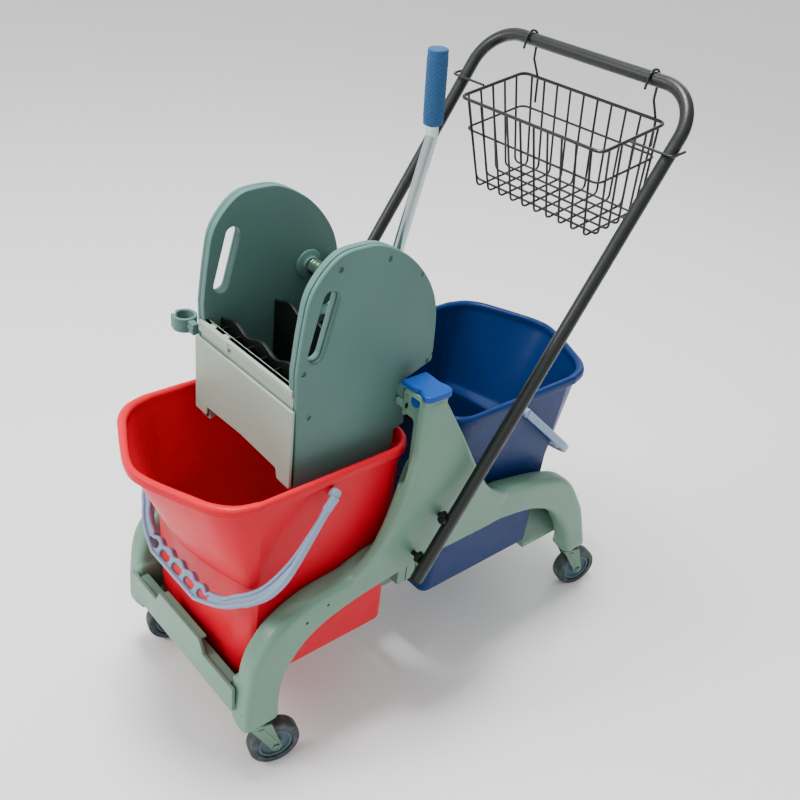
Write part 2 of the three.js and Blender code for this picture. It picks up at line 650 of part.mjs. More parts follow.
function pressArm(sign) {
  const x = sign * ARM_X;
  const tip = [x, SHAFT_Y + ARM_LENGTH * Math.sin(ARM_REST), SHAFT_Z - ARM_LENGTH * Math.cos(ARM_REST)];
  const boss = rod(X_AXIS, [x, SHAFT_Y, SHAFT_Z], 14, 12, 20);
  const arm = new THREE.BoxGeometry(10, 12, ARM_LENGTH);
  arm.rotateX(ARM_REST);
  arm.translate(x, (SHAFT_Y + tip[1]) / 2, (SHAFT_Z + tip[2]) / 2);
  const roller = rod(X_AXIS, tip, ROLLER_RADIUS, 12, 16);
  const bore = rod(X_AXIS, [x, SHAFT_Y, SHAFT_Z], SHAFT_RADIUS + GAP, 20, 16);
  return cut(join(boss, arm, roller), bore);
}

add('wringer_front_panel', frontPanel(), frontGrey);
add('wringer_rear_panel', rearPanel(), panelGrey);
add('drain_grid', drainGrid(), panelGrey);
add('fixed_press_plate', pressPlate(-254, -1, 496, 634), blackPlastic);
add('moving_press_plate', movingPressPlate(), blackPlastic);
const SHAFT_LENGTH = 2 * WELL_HALF - 1;
add('press_shaft', rod(X_AXIS, [0, SHAFT_Y, SHAFT_Z], SHAFT_RADIUS, SHAFT_LENGTH, 20), zincSteel);
SIDES.forEach(([side, sign]) => add(`press_arm_${side}`, pressArm(sign), blackPlastic));
const SPRING = { x: -76, inner: SHAFT_RADIUS + 2, outer: SHAFT_RADIUS + 5, width: 26 };
add('return_spring', sleeve(
  X_AXIS, [SPRING.x, SHAFT_Y, SHAFT_Z], SPRING.inner, SPRING.outer, SPRING.width, 20,
), zincSteel);

// Lever: straight up from the shaft, one bend, then the grip.
const leverPoint = (y, z) => new THREE.Vector3(LEVER_X, y, z);
const LEVER_BEND = leverPoint(-51, 908);
const LEVER_TIP = leverPoint(-58, 1016);
const leverFoot = leverPoint(SHAFT_Y, SHAFT_Z).lerp(LEVER_BEND, (SHAFT_RADIUS + 2.5) / 240);
const gripStart = LEVER_BEND.clone().lerp(LEVER_TIP, 0.12);
const gripAxis = LEVER_TIP.clone().sub(LEVER_BEND).normalize();
add('lever_tube', tube(roundedPath([leverFoot, LEVER_BEND, gripStart], 12, 4), 8, 16, 12), chrome);
add('lever_grip', lathe([
  [0, 0], [11, 0], [13, 3], [13, 84], [14, 88], [12, 94], [0, 94],
], gripAxis, gripStart.clone().addScaledVector(gripAxis, 1.5).toArray(), 16), gripBlue);

// C-shaped clip for a mop handle, with the arm that holds it to the front rail.
function mopClip() {
  const centre = [-152, -286];
  const ring = new THREE.Shape();
  ring.absarc(...centre, 18, -2.2, 2.2 + Math.PI * 0.35, false);
  ring.absarc(...centre, 13, 2.2 + Math.PI * 0.35, -2.2, true);
  const arm = box(-138, -PANEL_OUTER - GAP, -291, -281, 592, 610);
  return join(alongZ(ring, 590, 612, 14), arm);
}
add('mop_clip', mopClip(), panelGrey);

// ---------------------------------------------------------------- wire basket
// Built about the middle of its rim, then tilted forward and hung from the handle's top bar.
const basket = new THREE.Group();
basket.position.copy(BASKET_CENTRE);
basket.rotation.x = BASKET_TILT;
trolley.add(basket);

function basketLevel(depth, by = 0) {
  const t = depth / BASKET_DEPTH;
  const halfX = BASKET_HALF_LENGTH - 12 * t - by;
  const halfY = BASKET_HALF_WIDTH - 12 * t - by;
  const corner = 14;
  return [[1, 1, 0], [-1, 1, 1], [-1, -1, 2], [1, -1, 3]].flatMap(([sx, sy, quarter]) =>
    [0, 1, 2, 3].map((k) => {
      const angle = quarter * Math.PI / 2 + k * Math.PI / 6;
      return new THREE.Vector3(
        sx * (halfX - corner) + corner * Math.cos(angle),
        sy * (halfY - corner) + corner * Math.sin(angle),
        -depth,
      );
    }));
}

const basketTub = () => ringSkin([
  basketLevel(BASKET_DEPTH), basketLevel(0),
  basketLevel(0, 2 * WIRE_RADIUS), basketLevel(BASKET_DEPTH - 2 * WIRE_RADIUS, 2 * WIRE_RADIUS),
]);

add('wire_basket', basketTub(), darkPaint, basket);

// Hook over the top bar, with its long leg down behind the basket.
SIDES.forEach(([side, sign]) => {
  const bar = HANDLE_TOP;
  const reach = HANDLE_RADIUS + WIRE_RADIUS + 1;
  const x = sign * HOOK_X;
  const over = [...Array(9).keys()].map((k) => {
    const angle = Math.PI - k * Math.PI / 8;
    return new THREE.Vector3(x, bar.x + reach * Math.cos(angle), bar.y + reach * Math.sin(angle));
  });
  const route = [
    new THREE.Vector3(x, bar.x - reach - 3, bar.y - 14), ...over,
    new THREE.Vector3(x, bar.x + reach, 930), new THREE.Vector3(x, 352.5, 899),
    new THREE.Vector3(x, 356.5, 858),
  ];
  add(`basket_hook_${side}`, tube(route, WIRE_RADIUS, 22, 6), darkPaint);
  // Side hook: out past the front of the handle's leg and back round its outer side.
  const legY = handleY(890);
  const sideRoute = roundedPath([
    new THREE.Vector3(sign * (BASKET_HALF_LENGTH + 2.5), legY - 18, 887),
    new THREE.Vector3(sign * (HANDLE_HALF_WIDTH + 15), legY - 18, 887),
    new THREE.Vector3(sign * (HANDLE_HALF_WIDTH + 15), legY + 10, 891),
  ], 8, 4);
  add(`basket_side_hook_${side}`, tube(sideRoute, WIRE_RADIUS, 14, 6), darkPaint);
});

export default trolley;
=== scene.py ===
import math

import bmesh
import bpy
from mathutils import Matrix, Vector


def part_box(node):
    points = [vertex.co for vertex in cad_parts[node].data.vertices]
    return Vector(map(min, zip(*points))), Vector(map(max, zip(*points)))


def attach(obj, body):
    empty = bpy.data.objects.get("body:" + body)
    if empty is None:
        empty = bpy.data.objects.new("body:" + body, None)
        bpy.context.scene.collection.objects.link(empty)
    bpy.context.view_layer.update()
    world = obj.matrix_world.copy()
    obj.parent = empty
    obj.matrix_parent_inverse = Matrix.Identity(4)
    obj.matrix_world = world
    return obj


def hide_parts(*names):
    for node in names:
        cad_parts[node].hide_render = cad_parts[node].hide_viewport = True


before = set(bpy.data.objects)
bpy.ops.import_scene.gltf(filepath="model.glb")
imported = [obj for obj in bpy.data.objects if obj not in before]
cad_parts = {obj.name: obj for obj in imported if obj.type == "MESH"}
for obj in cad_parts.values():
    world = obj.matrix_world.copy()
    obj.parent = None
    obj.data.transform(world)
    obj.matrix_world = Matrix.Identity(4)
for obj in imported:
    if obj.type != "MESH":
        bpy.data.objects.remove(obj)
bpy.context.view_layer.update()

# Looks of the two-bucket mop trolley. Pieces are drawn in millimetres in the part's drawing frame
# (+Z up, -Y the front with the red bucket) and moved into the row frame, in metres, by piece().

MM = 0.001
RED_FLAT_EDGE = -86              # y of the red bucket's straight short rim
BLUE_FLAT_EDGE = -17
SHIFT_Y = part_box("red_bucket")[1].y / MM - RED_FLAT_EDGE
TO_ROW = Matrix.Translation((0, SHIFT_Y * MM, 0)) @ Matrix.Scale(MM, 4)
MIRROR = Matrix.Scale(-1, 4, (1, 0, 0))
SIDES = {"left": MIRROR, "right": Matrix()}
SIGN = {"left": -1, "right": 1}


# ---- camera
EYE = Vector((951.4, -912.1 + SHIFT_Y, 1282.0)) * MM
AZIMUTH, ELEVATION, ROLL = (math.radians(a) for a in (45.8, 32.1, 7.0))
LENS = 43.97


def add_camera():
    back = Vector((math.sin(AZIMUTH) * math.cos(ELEVATION),
                   -math.cos(AZIMUTH) * math.cos(ELEVATION), math.sin(ELEVATION)))
    level = Vector((math.cos(AZIMUTH), math.sin(AZIMUTH), 0))
    upright = back.cross(level)
    right = math.cos(ROLL) * level + math.sin(ROLL) * upright
    up = back.cross(right)
    data = bpy.data.cameras.new("camera")
    data.lens = LENS
    data.sensor_width = 36
    data.clip_end = 50
    camera = bpy.data.objects.new("camera", data)
    camera.matrix_world = Matrix.Translation(EYE) @ Matrix((right, up, back)).transposed().to_4x4()
    bpy.context.scene.collection.objects.link(camera)
    bpy.context.scene.camera = camera


# ---- materials
class Nodes:
    """A material's node tree, with short calls to add nodes and link them."""

    def __init__(self, name):
        self.material = bpy.data.materials.new(name)
        self.material.use_nodes = True
        self.tree = self.material.node_tree
        self.shader = self.tree.nodes["Principled BSDF"]
        self.place = self.add("ShaderNodeTexCoord").outputs["Object"]

    def add(self, kind, inputs=None, **settings):
        node = self.tree.nodes.new(kind)
        for key, value in settings.items():
            setattr(node, key, value)
        for key, value in (inputs or {}).items():
            if isinstance(value, bpy.types.NodeSocket):
                self.tree.links.new(value, node.inputs[key])
            else:
                node.inputs[key].default_value = value
        return node

    def noise(self, scale, detail=3, roughness=0.5, stretch=(1, 1, 1)):
        spot = self.add("ShaderNodeMapping", {"Vector": self.place, "Scale": stretch}).outputs[0]
        return self.add("ShaderNodeTexNoise", {
            "Vector": spot, "Scale": scale, "Detail": detail, "Roughness": roughness}).outputs["Fac"]

    def ramp(self, value, low, high, from_value, to_value):
        return self.add("ShaderNodeMapRange", {
            "Value": value, "From Min": low, "From Max": high, "To Min": from_value, "To Max": to_value,
        }).outputs["Result"]

    def mix(self, factor, a, b):
        node = self.add("ShaderNodeMix", data_type="RGBA")
        for socket, value in ((node.inputs["Factor"], factor), (node.inputs[6], a), (node.inputs[7], b)):
            if isinstance(value, bpy.types.NodeSocket):
                self.tree.links.new(value, socket)
            else:
                socket.default_value = value
        return node.outputs[2]

    def feed(self, name, value):
        if isinstance(value, bpy.types.NodeSocket):
            self.tree.links.new(value, self.shader.inputs[name])
        else:
            self.shader.inputs[name].default_value = value

    def bump(self, height, strength, distance):
        node = self.add("ShaderNodeBump", {"Strength": strength, "Distance": distance, "Height": height})
        self.feed("Normal", node.outputs["Normal"])


def linear(rgb, gain=1.0):
    """A colour given as 0 to 255 display values, as a linear colour."""
    def one(v):
        v = min(1.0, v / 255)
        return v / 12.92 if v <= 0.04045 else ((v + 0.055) / 1.055) ** 2.4
    return (*(min(1.0, one(v) * gain) for v in rgb), 1.0)


def moulded(name, rgb, roughness=0.38, spread=0.1, grain=0.12, grain_scale=1400, specular=0.5):
    """Injection-moulded plastic: flow mottling, fine grain, faint scuffs and dust."""
    n = Nodes(name)
    cloud = n.ramp(n.noise(9, 4), 0.3, 0.7, 0, 1)
    speckle = n.ramp(n.noise(420, 2), 0.35, 0.65, 0, 1)
    body = n.mix(cloud, linear(rgb, 1 - spread), linear(rgb, 1 + spread))
    flecked = n.mix(n.ramp(speckle, 0, 1, 0, 0.1), body, linear(rgb, 1.35))
    scratch = n.noise(55, 5, 0.7, (1, 9, 0.6))
    scuffed = n.mix(n.ramp(scratch, 0.66, 0.8, 0, 0.14), flecked, linear([min(255, v + 60) for v in rgb]))
    n.feed("Base Color", scuffed)
    n.feed("Roughness", n.ramp(n.noise(30, 4), 0.3, 0.7, roughness - 0.05, roughness + 0.08))
    n.feed("Specular IOR Level", specular)
    n.bump(n.noise(grain_scale, 2), grain, 0.0004)
    return n.material


def painted_steel(name, rgb, roughness=0.36):
    """Powder coat: orange peel, a little sheen, small chips of lighter metal."""
    n = Nodes(name)
    chip = n.ramp(n.noise(260, 3), 0.74, 0.78, 0, 0.5)
    n.feed("Base Color", n.mix(chip, n.mix(n.noise(14, 3), linear(rgb, 0.85), linear(rgb, 1.15)),
                               linear((90, 98, 92))))
    n.feed("Roughness", n.ramp(n.noise(90, 3), 0.3, 0.7, roughness - 0.05, roughness + 0.1))
    n.feed("Metallic", 0.2)
    n.feed("Coat Weight", 0.1)
    n.feed("Coat Roughness", 0.25)
    n.bump(n.noise(1100, 2), 0.25, 0.0003)
    return n.material


def bare_metal(name, rgb, roughness, streak=(1, 1, 0.05), spread=0.08):
    """Polished or plated metal with fine drawn streaks and faint smudges."""
    n = Nodes(name)
    lines = n.noise(600, 2, 0.6, streak)
    smudge = n.noise(22, 4)
    patches = n.ramp(smudge, 0.3, 0.7, 0, 1)
    n.feed("Base Color", n.mix(patches, linear(rgb, 1 - spread), linear(rgb, 1 + spread)))
    n.feed("Roughness", n.ramp(smudge, 0.3, 0.75, roughness, roughness + 0.12))
    n.feed("Metallic", 1.0)
    n.bump(lines, 0.08, 0.0002)
    return n.material


def rubber(name, rgb):
    """Matt tyre rubber with dust in its pores."""
    n = Nodes(name)
    dust = n.ramp(n.noise(70, 5, 0.65), 0.45, 0.75, 0, 0.35)
    n.feed("Base Color", n.mix(dust, linear(rgb), linear((128, 132, 128))))
    n.feed("Roughness", n.ramp(n.noise(40, 3), 0.3, 0.7, 0.6, 0.8))
    n.bump(n.noise(1500, 3), 0.35, 0.0004)
    return n.material


def make_materials():
    """The look of each slot."""
    return {
        "frame_plastic": moulded("frame_plastic_look", (98, 134, 116), 0.34, 0.05, 0.1, specular=0.3),
        "panel_plastic": moulded("panel_plastic_look", (78, 112, 106), 0.44, 0.07, 0.2, specular=0.25),
        "front_plastic": moulded("front_plastic_look", (146, 162, 148), 0.42, 0.05, 0.15, specular=0.3),
        "red_plastic": moulded("red_plastic_look", (206, 0, 36), 0.34, 0.06, 0.1, specular=0.14),
        "blue_plastic": moulded("blue_plastic_look", (6, 40, 92), 0.32, 0.08, 0.1, specular=0.16),
        "cap_plastic": moulded("cap_plastic_look", (8, 66, 142), 0.34, 0.07, 0.15, specular=0.2),
        "bail_plastic": moulded("bail_plastic_look", (128, 150, 178), 0.34, 0.06, 0.1, specular=0.35),
        "black_plastic": moulded("black_plastic_look", (16, 20, 19), 0.36, 0.2, 0.2, specular=0.25),
        "hub_plastic": moulded("hub_plastic_look", (70, 92, 102), 0.42, 0.1, 0.2, specular=0.25),
        "grip_plastic": moulded("grip_plastic_look", (34, 76, 118), 0.5, 0.08, 0.5, 900, specular=0.2),
        "dark_paint": painted_steel("dark_paint_look", (12, 20, 15)),
        "chrome": bare_metal("chrome_look", (186, 198, 200), 0.05),
        "zinc_steel": bare_metal("zinc_look", (96, 122, 106), 0.3, (1, 1, 1)),
        "tyre_rubber": rubber("tyre_rubber_look", (38, 48, 52)),
    }


# ---- mesh tools
def new_object(name, data):
    obj = bpy.data.objects.new(name, data)
    bpy.context.scene.collection.objects.link(obj)
    return obj


def baked(obj):
    """The object as a plain mesh, with its modifiers applied or its curve filled."""
    bpy.context.view_layer.update()
    graph = bpy.context.evaluated_depsgraph_get()
    mesh = bpy.data.meshes.new_from_object(obj.evaluated_get(graph))
    name = obj.name
    bpy.data.objects.remove(obj)
    result = new_object(name, mesh)
    result.name = name
    return result


def from_points(name, points, faces):
    mesh = bpy.data.meshes.new(name)
    mesh.from_pydata([tuple(p) for p in points], [], faces)
    obj = new_object(name, mesh)
    tidy(obj)
    return obj


def tidy(obj, merge=0.01):
    work = bmesh.new()
    work.from_mesh(obj.data)
    bmesh.ops.remove_doubles(work, verts=work.verts, dist=merge)
    bmesh.ops.recalc_face_normals(work, faces=work.faces)
    work.to_mesh(obj.data)
    work.free()


def joined(name, *objects):
    """One object from several closed bodies."""
    work = bmesh.new()
    for obj in objects:
        work.from_mesh(obj.data)
        bpy.data.objects.remove(obj)
    mesh = bpy.data.meshes.new(name)
    work.to_mesh(mesh)
    work.free()
    return new_object(name, mesh)


def moved(obj, matrix):
    obj.data.transform(matrix)
    if matrix.determinant() < 0:
        obj.data.flip_normals()
    return obj


def carve(obj, *cutters):
    for cutter in cutters:
        cut = obj.modifiers.new("cut", "BOOLEAN")
        cut.operation = "DIFFERENCE"
        cut.solver = "EXACT"
        cut.object = cutter
    result = baked(obj)
    for cutter in cutters:
        bpy.data.objects.remove(cutter)
    return result


def piece(obj, body, slot, replaces=(), place=Matrix(), crease=35, weighted=True):
    """Moves a finished mesh into the row frame and says what it rides on and stands for."""
    moved(obj, place)
    obj.data.transform(TO_ROW)
    obj.data.materials.clear()
    obj.data.materials.append(LOOKS[slot])
    obj.data.shade_smooth()
    obj.data.set_sharp_from_angle(angle=math.radians(crease))
    if weighted:
        normals = obj.modifiers.new("normals", "WEIGHTED_NORMAL")
        normals.keep_sharp = True
        obj = baked(obj)
    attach(obj, body)
    if replaces:
        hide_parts(*replaces)
    return obj


PLANES = {
    "x": Matrix(((0, 0, 1, 0), (1, 0, 0, 0), (0, 1, 0, 0), (0, 0, 0, 1))),
    "y": Matrix(((1, 0, 0, 0), (0, 0, 1, 0), (0, 1, 0, 0), (0, 0, 0, 1))),
    "z": Matrix(),
}


def signed_area(loop):
    return sum(a[0] * b[1] - b[0] * a[1] for a, b in zip(loop, [*loop[1:], loop[0]])) / 2


def plate(name, axis, outline, low, high, bevel=1.0, holes=(), smooth=2):
    """Extrudes an outline along an axis from low to high, with rounded edges and holes."""
    curve = bpy.data.curves.new(name, "CURVE")
    curve.dimensions = "2D"
    curve.fill_mode = "BOTH"
    curve.extrude = (high - low) / 2 - bevel
    curve.bevel_depth = bevel
    curve.bevel_resolution = smooth
    curve.offset = -bevel
    for k, loop in enumerate([outline, *holes]):
        if (signed_area(loop) > 0) == (k > 0):
            loop = list(reversed(loop))
        spline = curve.splines.new("POLY")
        spline.points.add(len(loop) - 1)
        for point, (a, b) in zip(spline.points, loop):
            point.co = (a, b, 0, 1)
        spline.use_cyclic_u = True
    obj = baked(new_object(name, curve))
    obj.data.transform(PLANES[axis] @ Matrix.Translation((0, 0, (low + high) / 2)))
    tidy(obj)
    return obj


def block(name, x, y, z, bevel=1.0, segments=2):
    """A moulded block with rounded edges, from its (low, high) along each axis."""
    work = bmesh.new()
    bmesh.ops.create_cube(work, size=1)
    for v in work.verts:
        v.co = [lo + (c + 0.5) * (hi - lo) for c, (lo, hi) in zip(v.co, (x, y, z))]
    if bevel:
        bmesh.ops.bevel(work, geom=work.edges[:], offset=bevel, segments=segments, profile=0.5,
                        affect="EDGES")
    mesh = bpy.data.meshes.new(name)
    work.to_mesh(mesh)
    work.free()
    return new_object(name, mesh)


def turned_to(axis):
    return Vector((0, 0, 1)).rotation_difference(Vector(axis)).to_matrix().to_4x4()


def lathe(name, profile, axis=(0, 0, 1), centre=(0, 0, 0), segments=64):
    """Turns a profile of (radius, height) points round an axis. It starts and ends on the axis or closes."""
    closes = profile[0][0] > 0
    rings = []
    points = []
    for radius, height in profile:
        if radius < 1e-6:
            rings.append([len(points)] * segments)
            points.append(Vector((0, 0, height)))
            continue
        rings.append(list(range(len(points), len(points) + segments)))
        for k in range(segments):
            angle = 2 * math.pi * k / segments
            points.append(Vector((radius * math.cos(angle), radius * math.sin(angle), height)))
    pairs = list(zip(rings, [*rings[1:], rings[0]])) if closes else list(zip(rings, rings[1:]))
    faces = []
    for low, high in pairs:
        for i in range(segments):
            j = (i + 1) % segments
            corners = list(dict.fromkeys((low[i], low[j], high[j], high[i])))
            if len(corners) > 2:
                faces.append(corners)
    matrix = Matrix.Translation(centre) @ turned_to(axis)
    return from_points(name, [matrix @ p for p in points], faces)


def rounded(profile, radius, steps=4):
    """A closed loop of points with each corner turned at a radius, or as much as fits."""
    result = []
    count = len(profile)
    for i in range(count):
        before, at, after = (Vector(profile[(i + k) % count]) for k in (-1, 0, 1))
        one, two = before - at, after - at
        half = one.angle(two) / 2
        if half > math.radians(86):
            result.append(tuple(at))
            continue
        setback = min(radius / math.tan(half), one.length * 0.45, two.length * 0.45)
        start, end = at + one.normalized() * setback, at + two.normalized() * setback
        for k in range(steps + 1):
            t = k / steps
            result.append(tuple((1 - t) ** 2 * start + 2 * t * (1 - t) * at + t * t * end))
    return result


def rounded_path(corners, radius, steps=8):
    """A path through corner points in space, each corner turned at a radius."""
    corners = [Vector(c) for c in corners]
    points = [corners[0]]
    for before, at, after in zip(corners, corners[1:], corners[2:]):
        one, two = (before - at).normalized(), (after - at).normalized()
        half = one.angle(two) / 2
        setback = radius / math.tan(half)
        start = at + one * setback
        end = at + two * setback
        centre = at + (one + two).normalized() * (radius / math.sin(half))
        a, b = start - centre, end - centre
        turn = a.angle(b)
        for k in range(steps + 1):
            t = k / steps
            spoke = (a * math.sin((1 - t) * turn) + b * math.sin(t * turn)) / math.sin(turn)
            points.append(centre + spoke)
    points.append(corners[-1])
    return points


def spline(points, steps=8):
    """A smooth curve through points, as the CAD outlines have."""
    points = [Vector(p) for p in points]
    result = []
    for i in range(len(points) - 1):
        p0, p1, p2, p3 = (points[max(0, min(len(points) - 1, i + k))] for k in (-1, 0, 1, 2))
        for k in range(steps):
            t = k / steps
            result.append(0.5 * (2 * p1 + (p2 - p0) * t + (2 * p0 - 5 * p1 + 4 * p2 - p3) * t * t
                                 + (3 * p1 - p0 - 3 * p2 + p3) * t ** 3))
    result.append(points[-1])
    return [tuple(p) for p in result]


def arc(cx, cy, radius, start, end, steps=16):
    return [(cx + radius * math.cos(start + (end - start) * k / steps),
             cy + radius * math.sin(start + (end - start) * k / steps)) for k in range(steps + 1)]


def sweep(name, points, radius, smooth=4, closed=False):
    """A round wire or tube along a path, with flat ends unless it closes on itself."""
    curve = bpy.data.curves.new(name, "CURVE")
    curve.dimensions = "3D"
    curve.bevel_depth = radius
    curve.bevel_resolution = smooth
    curve.use_fill_caps = not closed
    line = curve.splines.new("POLY")
    line.points.add(len(points) - 1)
    for point, place in zip(line.points, points):
        point.co = (*place, 1)
    line.use_cyclic_u = closed
    obj = baked(new_object(name, curve))
    tidy(obj)
    return obj


def loft(name, rings):
    """A closed skin through rings of points, each with the same count, capped at both ends."""
    count = len(rings[0])
    points = [p for ring in rings for p in ring]
    faces = []
    for r in range(len(rings) - 1):
        for i in range(count):
            j = (i + 1) % count
            faces.append((r * count + i, r * count + j, (r + 1) * count + j, (r + 1) * count + i))
    faces.append(tuple(reversed(range(count))))
    faces.append(tuple(range((len(rings) - 1) * count, len(rings) * count)))
    return from_points(name, points, faces)


# ---- side frames
LEG_BOTTOM = 100
BEAM_X = (139, 178)
TOWER_X = (158, 190)
TOWER_FRONT, TOWER_REAR, TOWER_TOP = -118, -76, 592
STEM_X = 155
STEM_Y = {"front": -352, "rear": 347}
BOLT_HEIGHTS = {"lower": 312, "upper": 372}
HANDLE_X = 208
HANDLE_FOOT = (-110, 288)        # y and z
HANDLE_TOP = (322.7, 961.8)
HANDLE_RADIUS = 10
HANDLE_BEND = 66


def handle_y(z):
    slope = (HANDLE_TOP[0] - HANDLE_FOOT[0]) / (HANDLE_TOP[1] - HANDLE_FOOT[1])
    return HANDLE_FOOT[0] + (z - HANDLE_FOOT[1]) * slope


def beam_outline():
    under_front = spline([(-325, 140), (-316, 190), (-275, 239), (-208, 264), (-99, 280)])
    under_rear = spline([(101, 282), (178, 268), (242, 236), (291, 179), (321, 112)])
    over_rear = spline([(375, LEG_BOTTOM), (345, 183), (328, 219), (278, 288), (213, 319), (114, 341)])
    over_front = spline([(-211, 315), (-274, 308), (-323, 289), (-353, 264), (-375, 222), (-384, 150)])
    return [(-325, LEG_BOTTOM), *under_front, *under_rear, (323, LEG_BOTTOM), *over_rear,
            (0, 350), (-166, 330), *over_front, (-385, LEG_BOTTOM)]


def tower_outline():
    rear = spline([(105, 340), (80, 352), (50, 378), (10, 436)])
    front = spline([(TOWER_FRONT, 500), (-138, 416), (-166, 350), (-205, 316)])
    return [(-211, 290), (80, 290), *rear, (-31, 507), (-66, 564), (TOWER_REAR, 580),
            (TOWER_REAR, TOWER_TOP), (TOWER_FRONT, TOWER_TOP), *front]


def flow_web(obj):
    """Brings the tower's outer face down into the beam's without a step."""
    low, high = 300.0, 450.0
    for v in obj.data.vertices:
        if v.co.x > BEAM_X[1]:
            t = max(0.0, min(1.0, (v.co.z - low) / (high - low)))
            v.co.x = BEAM_X[1] + (v.co.x - BEAM_X[1]) * t * t * (3 - 2 * t)


def side_frame(name):
    voxel = 2.4
    body = joined(
        name,
        plate("beam", "x", beam_outline(), *BEAM_X, 9),
        plate("tower", "x", tower_outline(), *TOWER_X, 8),
        block("head", (139, 172), (TOWER_FRONT, TOWER_REAR), (545, TOWER_TOP), 0),
        block("front_leg", (133, 155), (-382, -328), (LEG_BOTTOM, 190), 0),
        block("rear_leg", (133, 155), (326, 366), (LEG_BOTTOM, 178), 0),
    )
    remesh = body.modifiers.new("remesh", "REMESH")
    remesh.mode = "VOXEL"
    remesh.voxel_size = voxel
    melt = body.modifiers.new("melt", "SMOOTH")
    melt.factor = 0.5
    melt.iterations = 22
    body = baked(body)
    flow_web(body)
    top_trim = block("top_trim", (120, 200), (-130, -60), (TOWER_TOP - 4, TOWER_TOP + 20), 0)
    recess = plate("recess", "y", rounded(
        [(143, 586), (143, 545), (156, 520), (160, 440), (173, 440), (174, 586)], 5),
        TOWER_FRONT - 12, TOWER_FRONT + 9, 0.5)
    stems = [lathe("stem_hole", [(0, -30), (6.5, -30), (6.5, 22), (0, 22)],
                   centre=(STEM_X, y, LEG_BOTTOM), segments=32) for y in STEM_Y.values()]
    dimples = [lathe("side_hole", [(0, -4), (2, -4), (3.2, 12), (0, 12)], (1, 0, 0),
                     (BEAM_X[1] - 3, y + 4, z - 22), 24) for y, z in ((-255, 311), (-291, 296))]
    pin_hole = lathe("pin_hole", [(0, -4), (1.3, -4), (1.3, 12), (0, 12)], (0, -1, 0),
                     (164, -383, 134), 16)
    body = carve(body, top_trim, recess, *stems, *dimples, pin_hole)
    seat = block("seat", (124, 143), (-116, -80), (556, 566), 1)
    lid_bed = plate("lid_bed", "z", rounded(
        [(141, -117), (186, -117), (189, -112), (189, -80), (186, -77), (141, -77)], 4),
        TOWER_TOP - 8, TOWER_TOP, 1.2)
    return joined(name, body, seat, lid_bed)


def tower_cap(name):
    """Lid with a wavy front edge and a flat top with rounded edges."""
    front = spline([(136, -119), (156, -118), (168, -115), (178, -120), (186, -122.5), (193, -119)], 6)
    rear = spline([(194, -80), (188, -75), (178, -74.5), (166, -77), (150, -76), (136, -76)], 6)
    outline = [*front, (195, -112), (195, -86), *rear]
    return plate(name, "z", outline, TOWER_TOP + 0.3, TOWER_TOP + 9.8, 2.4, smooth=3)


def add_side_frames():
    for side, place in SIDES.items():
        piece(side_frame(f"side_frame_{side}_moulding"), "chassis", "frame_plastic",
              [f"side_frame_{side}"], place, crease=50, weighted=False)
        piece(tower_cap(f"tower_lid_{side}"), "chassis", "cap_plastic", [f"tower_cap_{side}"], place)
        plug = lathe(f"tower_button_{side}", [(0, 0), (7.2, 0), (8, 0.8), (8, 2), (7, 3), (3, 3.4), (0, 3.5)],
                     (0, -1, 0), (157, TOWER_FRONT + 9.3, 573), 40)
        piece(plug, "chassis", "cap_plastic", [f"tower_plug_{side}"], place)


# ---- crossbars
LEDGE_TOP = 136.6
LEDGE_BOTTOM = 124.6
LEG_GAP = 132.7


def add_crossbars():
    face = rounded([(-149, 132), (149, 132), (149, 178), (70, 178), (58, 200.5), (-58, 200.5), (-70, 178),
                    (-149, 178)], 2.5)
    parts = [
        plate("face", "y", face, -391, -385.3, 1.2),
        block("ledge", (-LEG_GAP, LEG_GAP), (-388, -318), (LEDGE_BOTTOM, LEDGE_TOP), 1.2),
        block("top_flange", (-132, 132), (-386.5, -370), (171, 174.5), 0.8),
        block("lip", (-56, 56), (-386.5, -376), (196, 199.5), 0.8),
    ]
    parts += [block("gusset", (x - 1.5, x + 1.5), (-387, -371), (LEDGE_TOP - 1, 172), 0.6)
              for x in (-118, -84, -30, 30, 84, 118)]
    parts.append(block("tab", (-38, -16), (-368, -360), (LEDGE_TOP - 1, 149), 1))
    piece(joined("front_crossbar_moulding", *parts), "chassis", "frame_plastic", ["front_crossbar"])

    hangers = []
    for sign in (-1, 1):
        x = sorted((sign * 118, sign * 138.7))
        hangers.append(block("hanger", x, (-79, -25), (206, 300), 1.5))
        hangers += [block("hanger_rib", x, (y - 1.5, y + 1.5), (204.5, 298), 0.5) for y in (-62, -42)]
    span = block("span", (-120, 120), (-60, -44), (206, 240), 1.5)
    web = block("web", (-66, 66), (-57, -47), (LEDGE_BOTTOM, 210), 1)
    foot = block("foot", (-66, 66), (-140, 36), (LEDGE_BOTTOM, LEDGE_TOP), 1.2)
    ribs = [block("span_rib", (x - 1.5, x + 1.5), (-61, -43), (207, 239), 0.5) for x in range(-100, 101, 25)]
    piece(joined("middle_crossmember_moulding", *hangers, span, web, foot, *ribs), "chassis",
          "frame_plastic", ["middle_crossmember"])

    back = [
        block("rear_face", (-LEG_GAP, LEG_GAP), (350, 360), (132, 178), 1.5),
        block("rear_ledge", (-LEG_GAP, LEG_GAP), (240, 354), (LEDGE_BOTTOM, LEDGE_TOP), 1.2),
    ]
    back += [block("rear_rib", (x - 1.5, x + 1.5), (343, 362), (133, 176), 0.6) for x in range(-128, 129, 16)]
    piece(joined("rear_crossbar_moulding", *back), "chassis", "frame_plastic", ["rear_crossbar"])


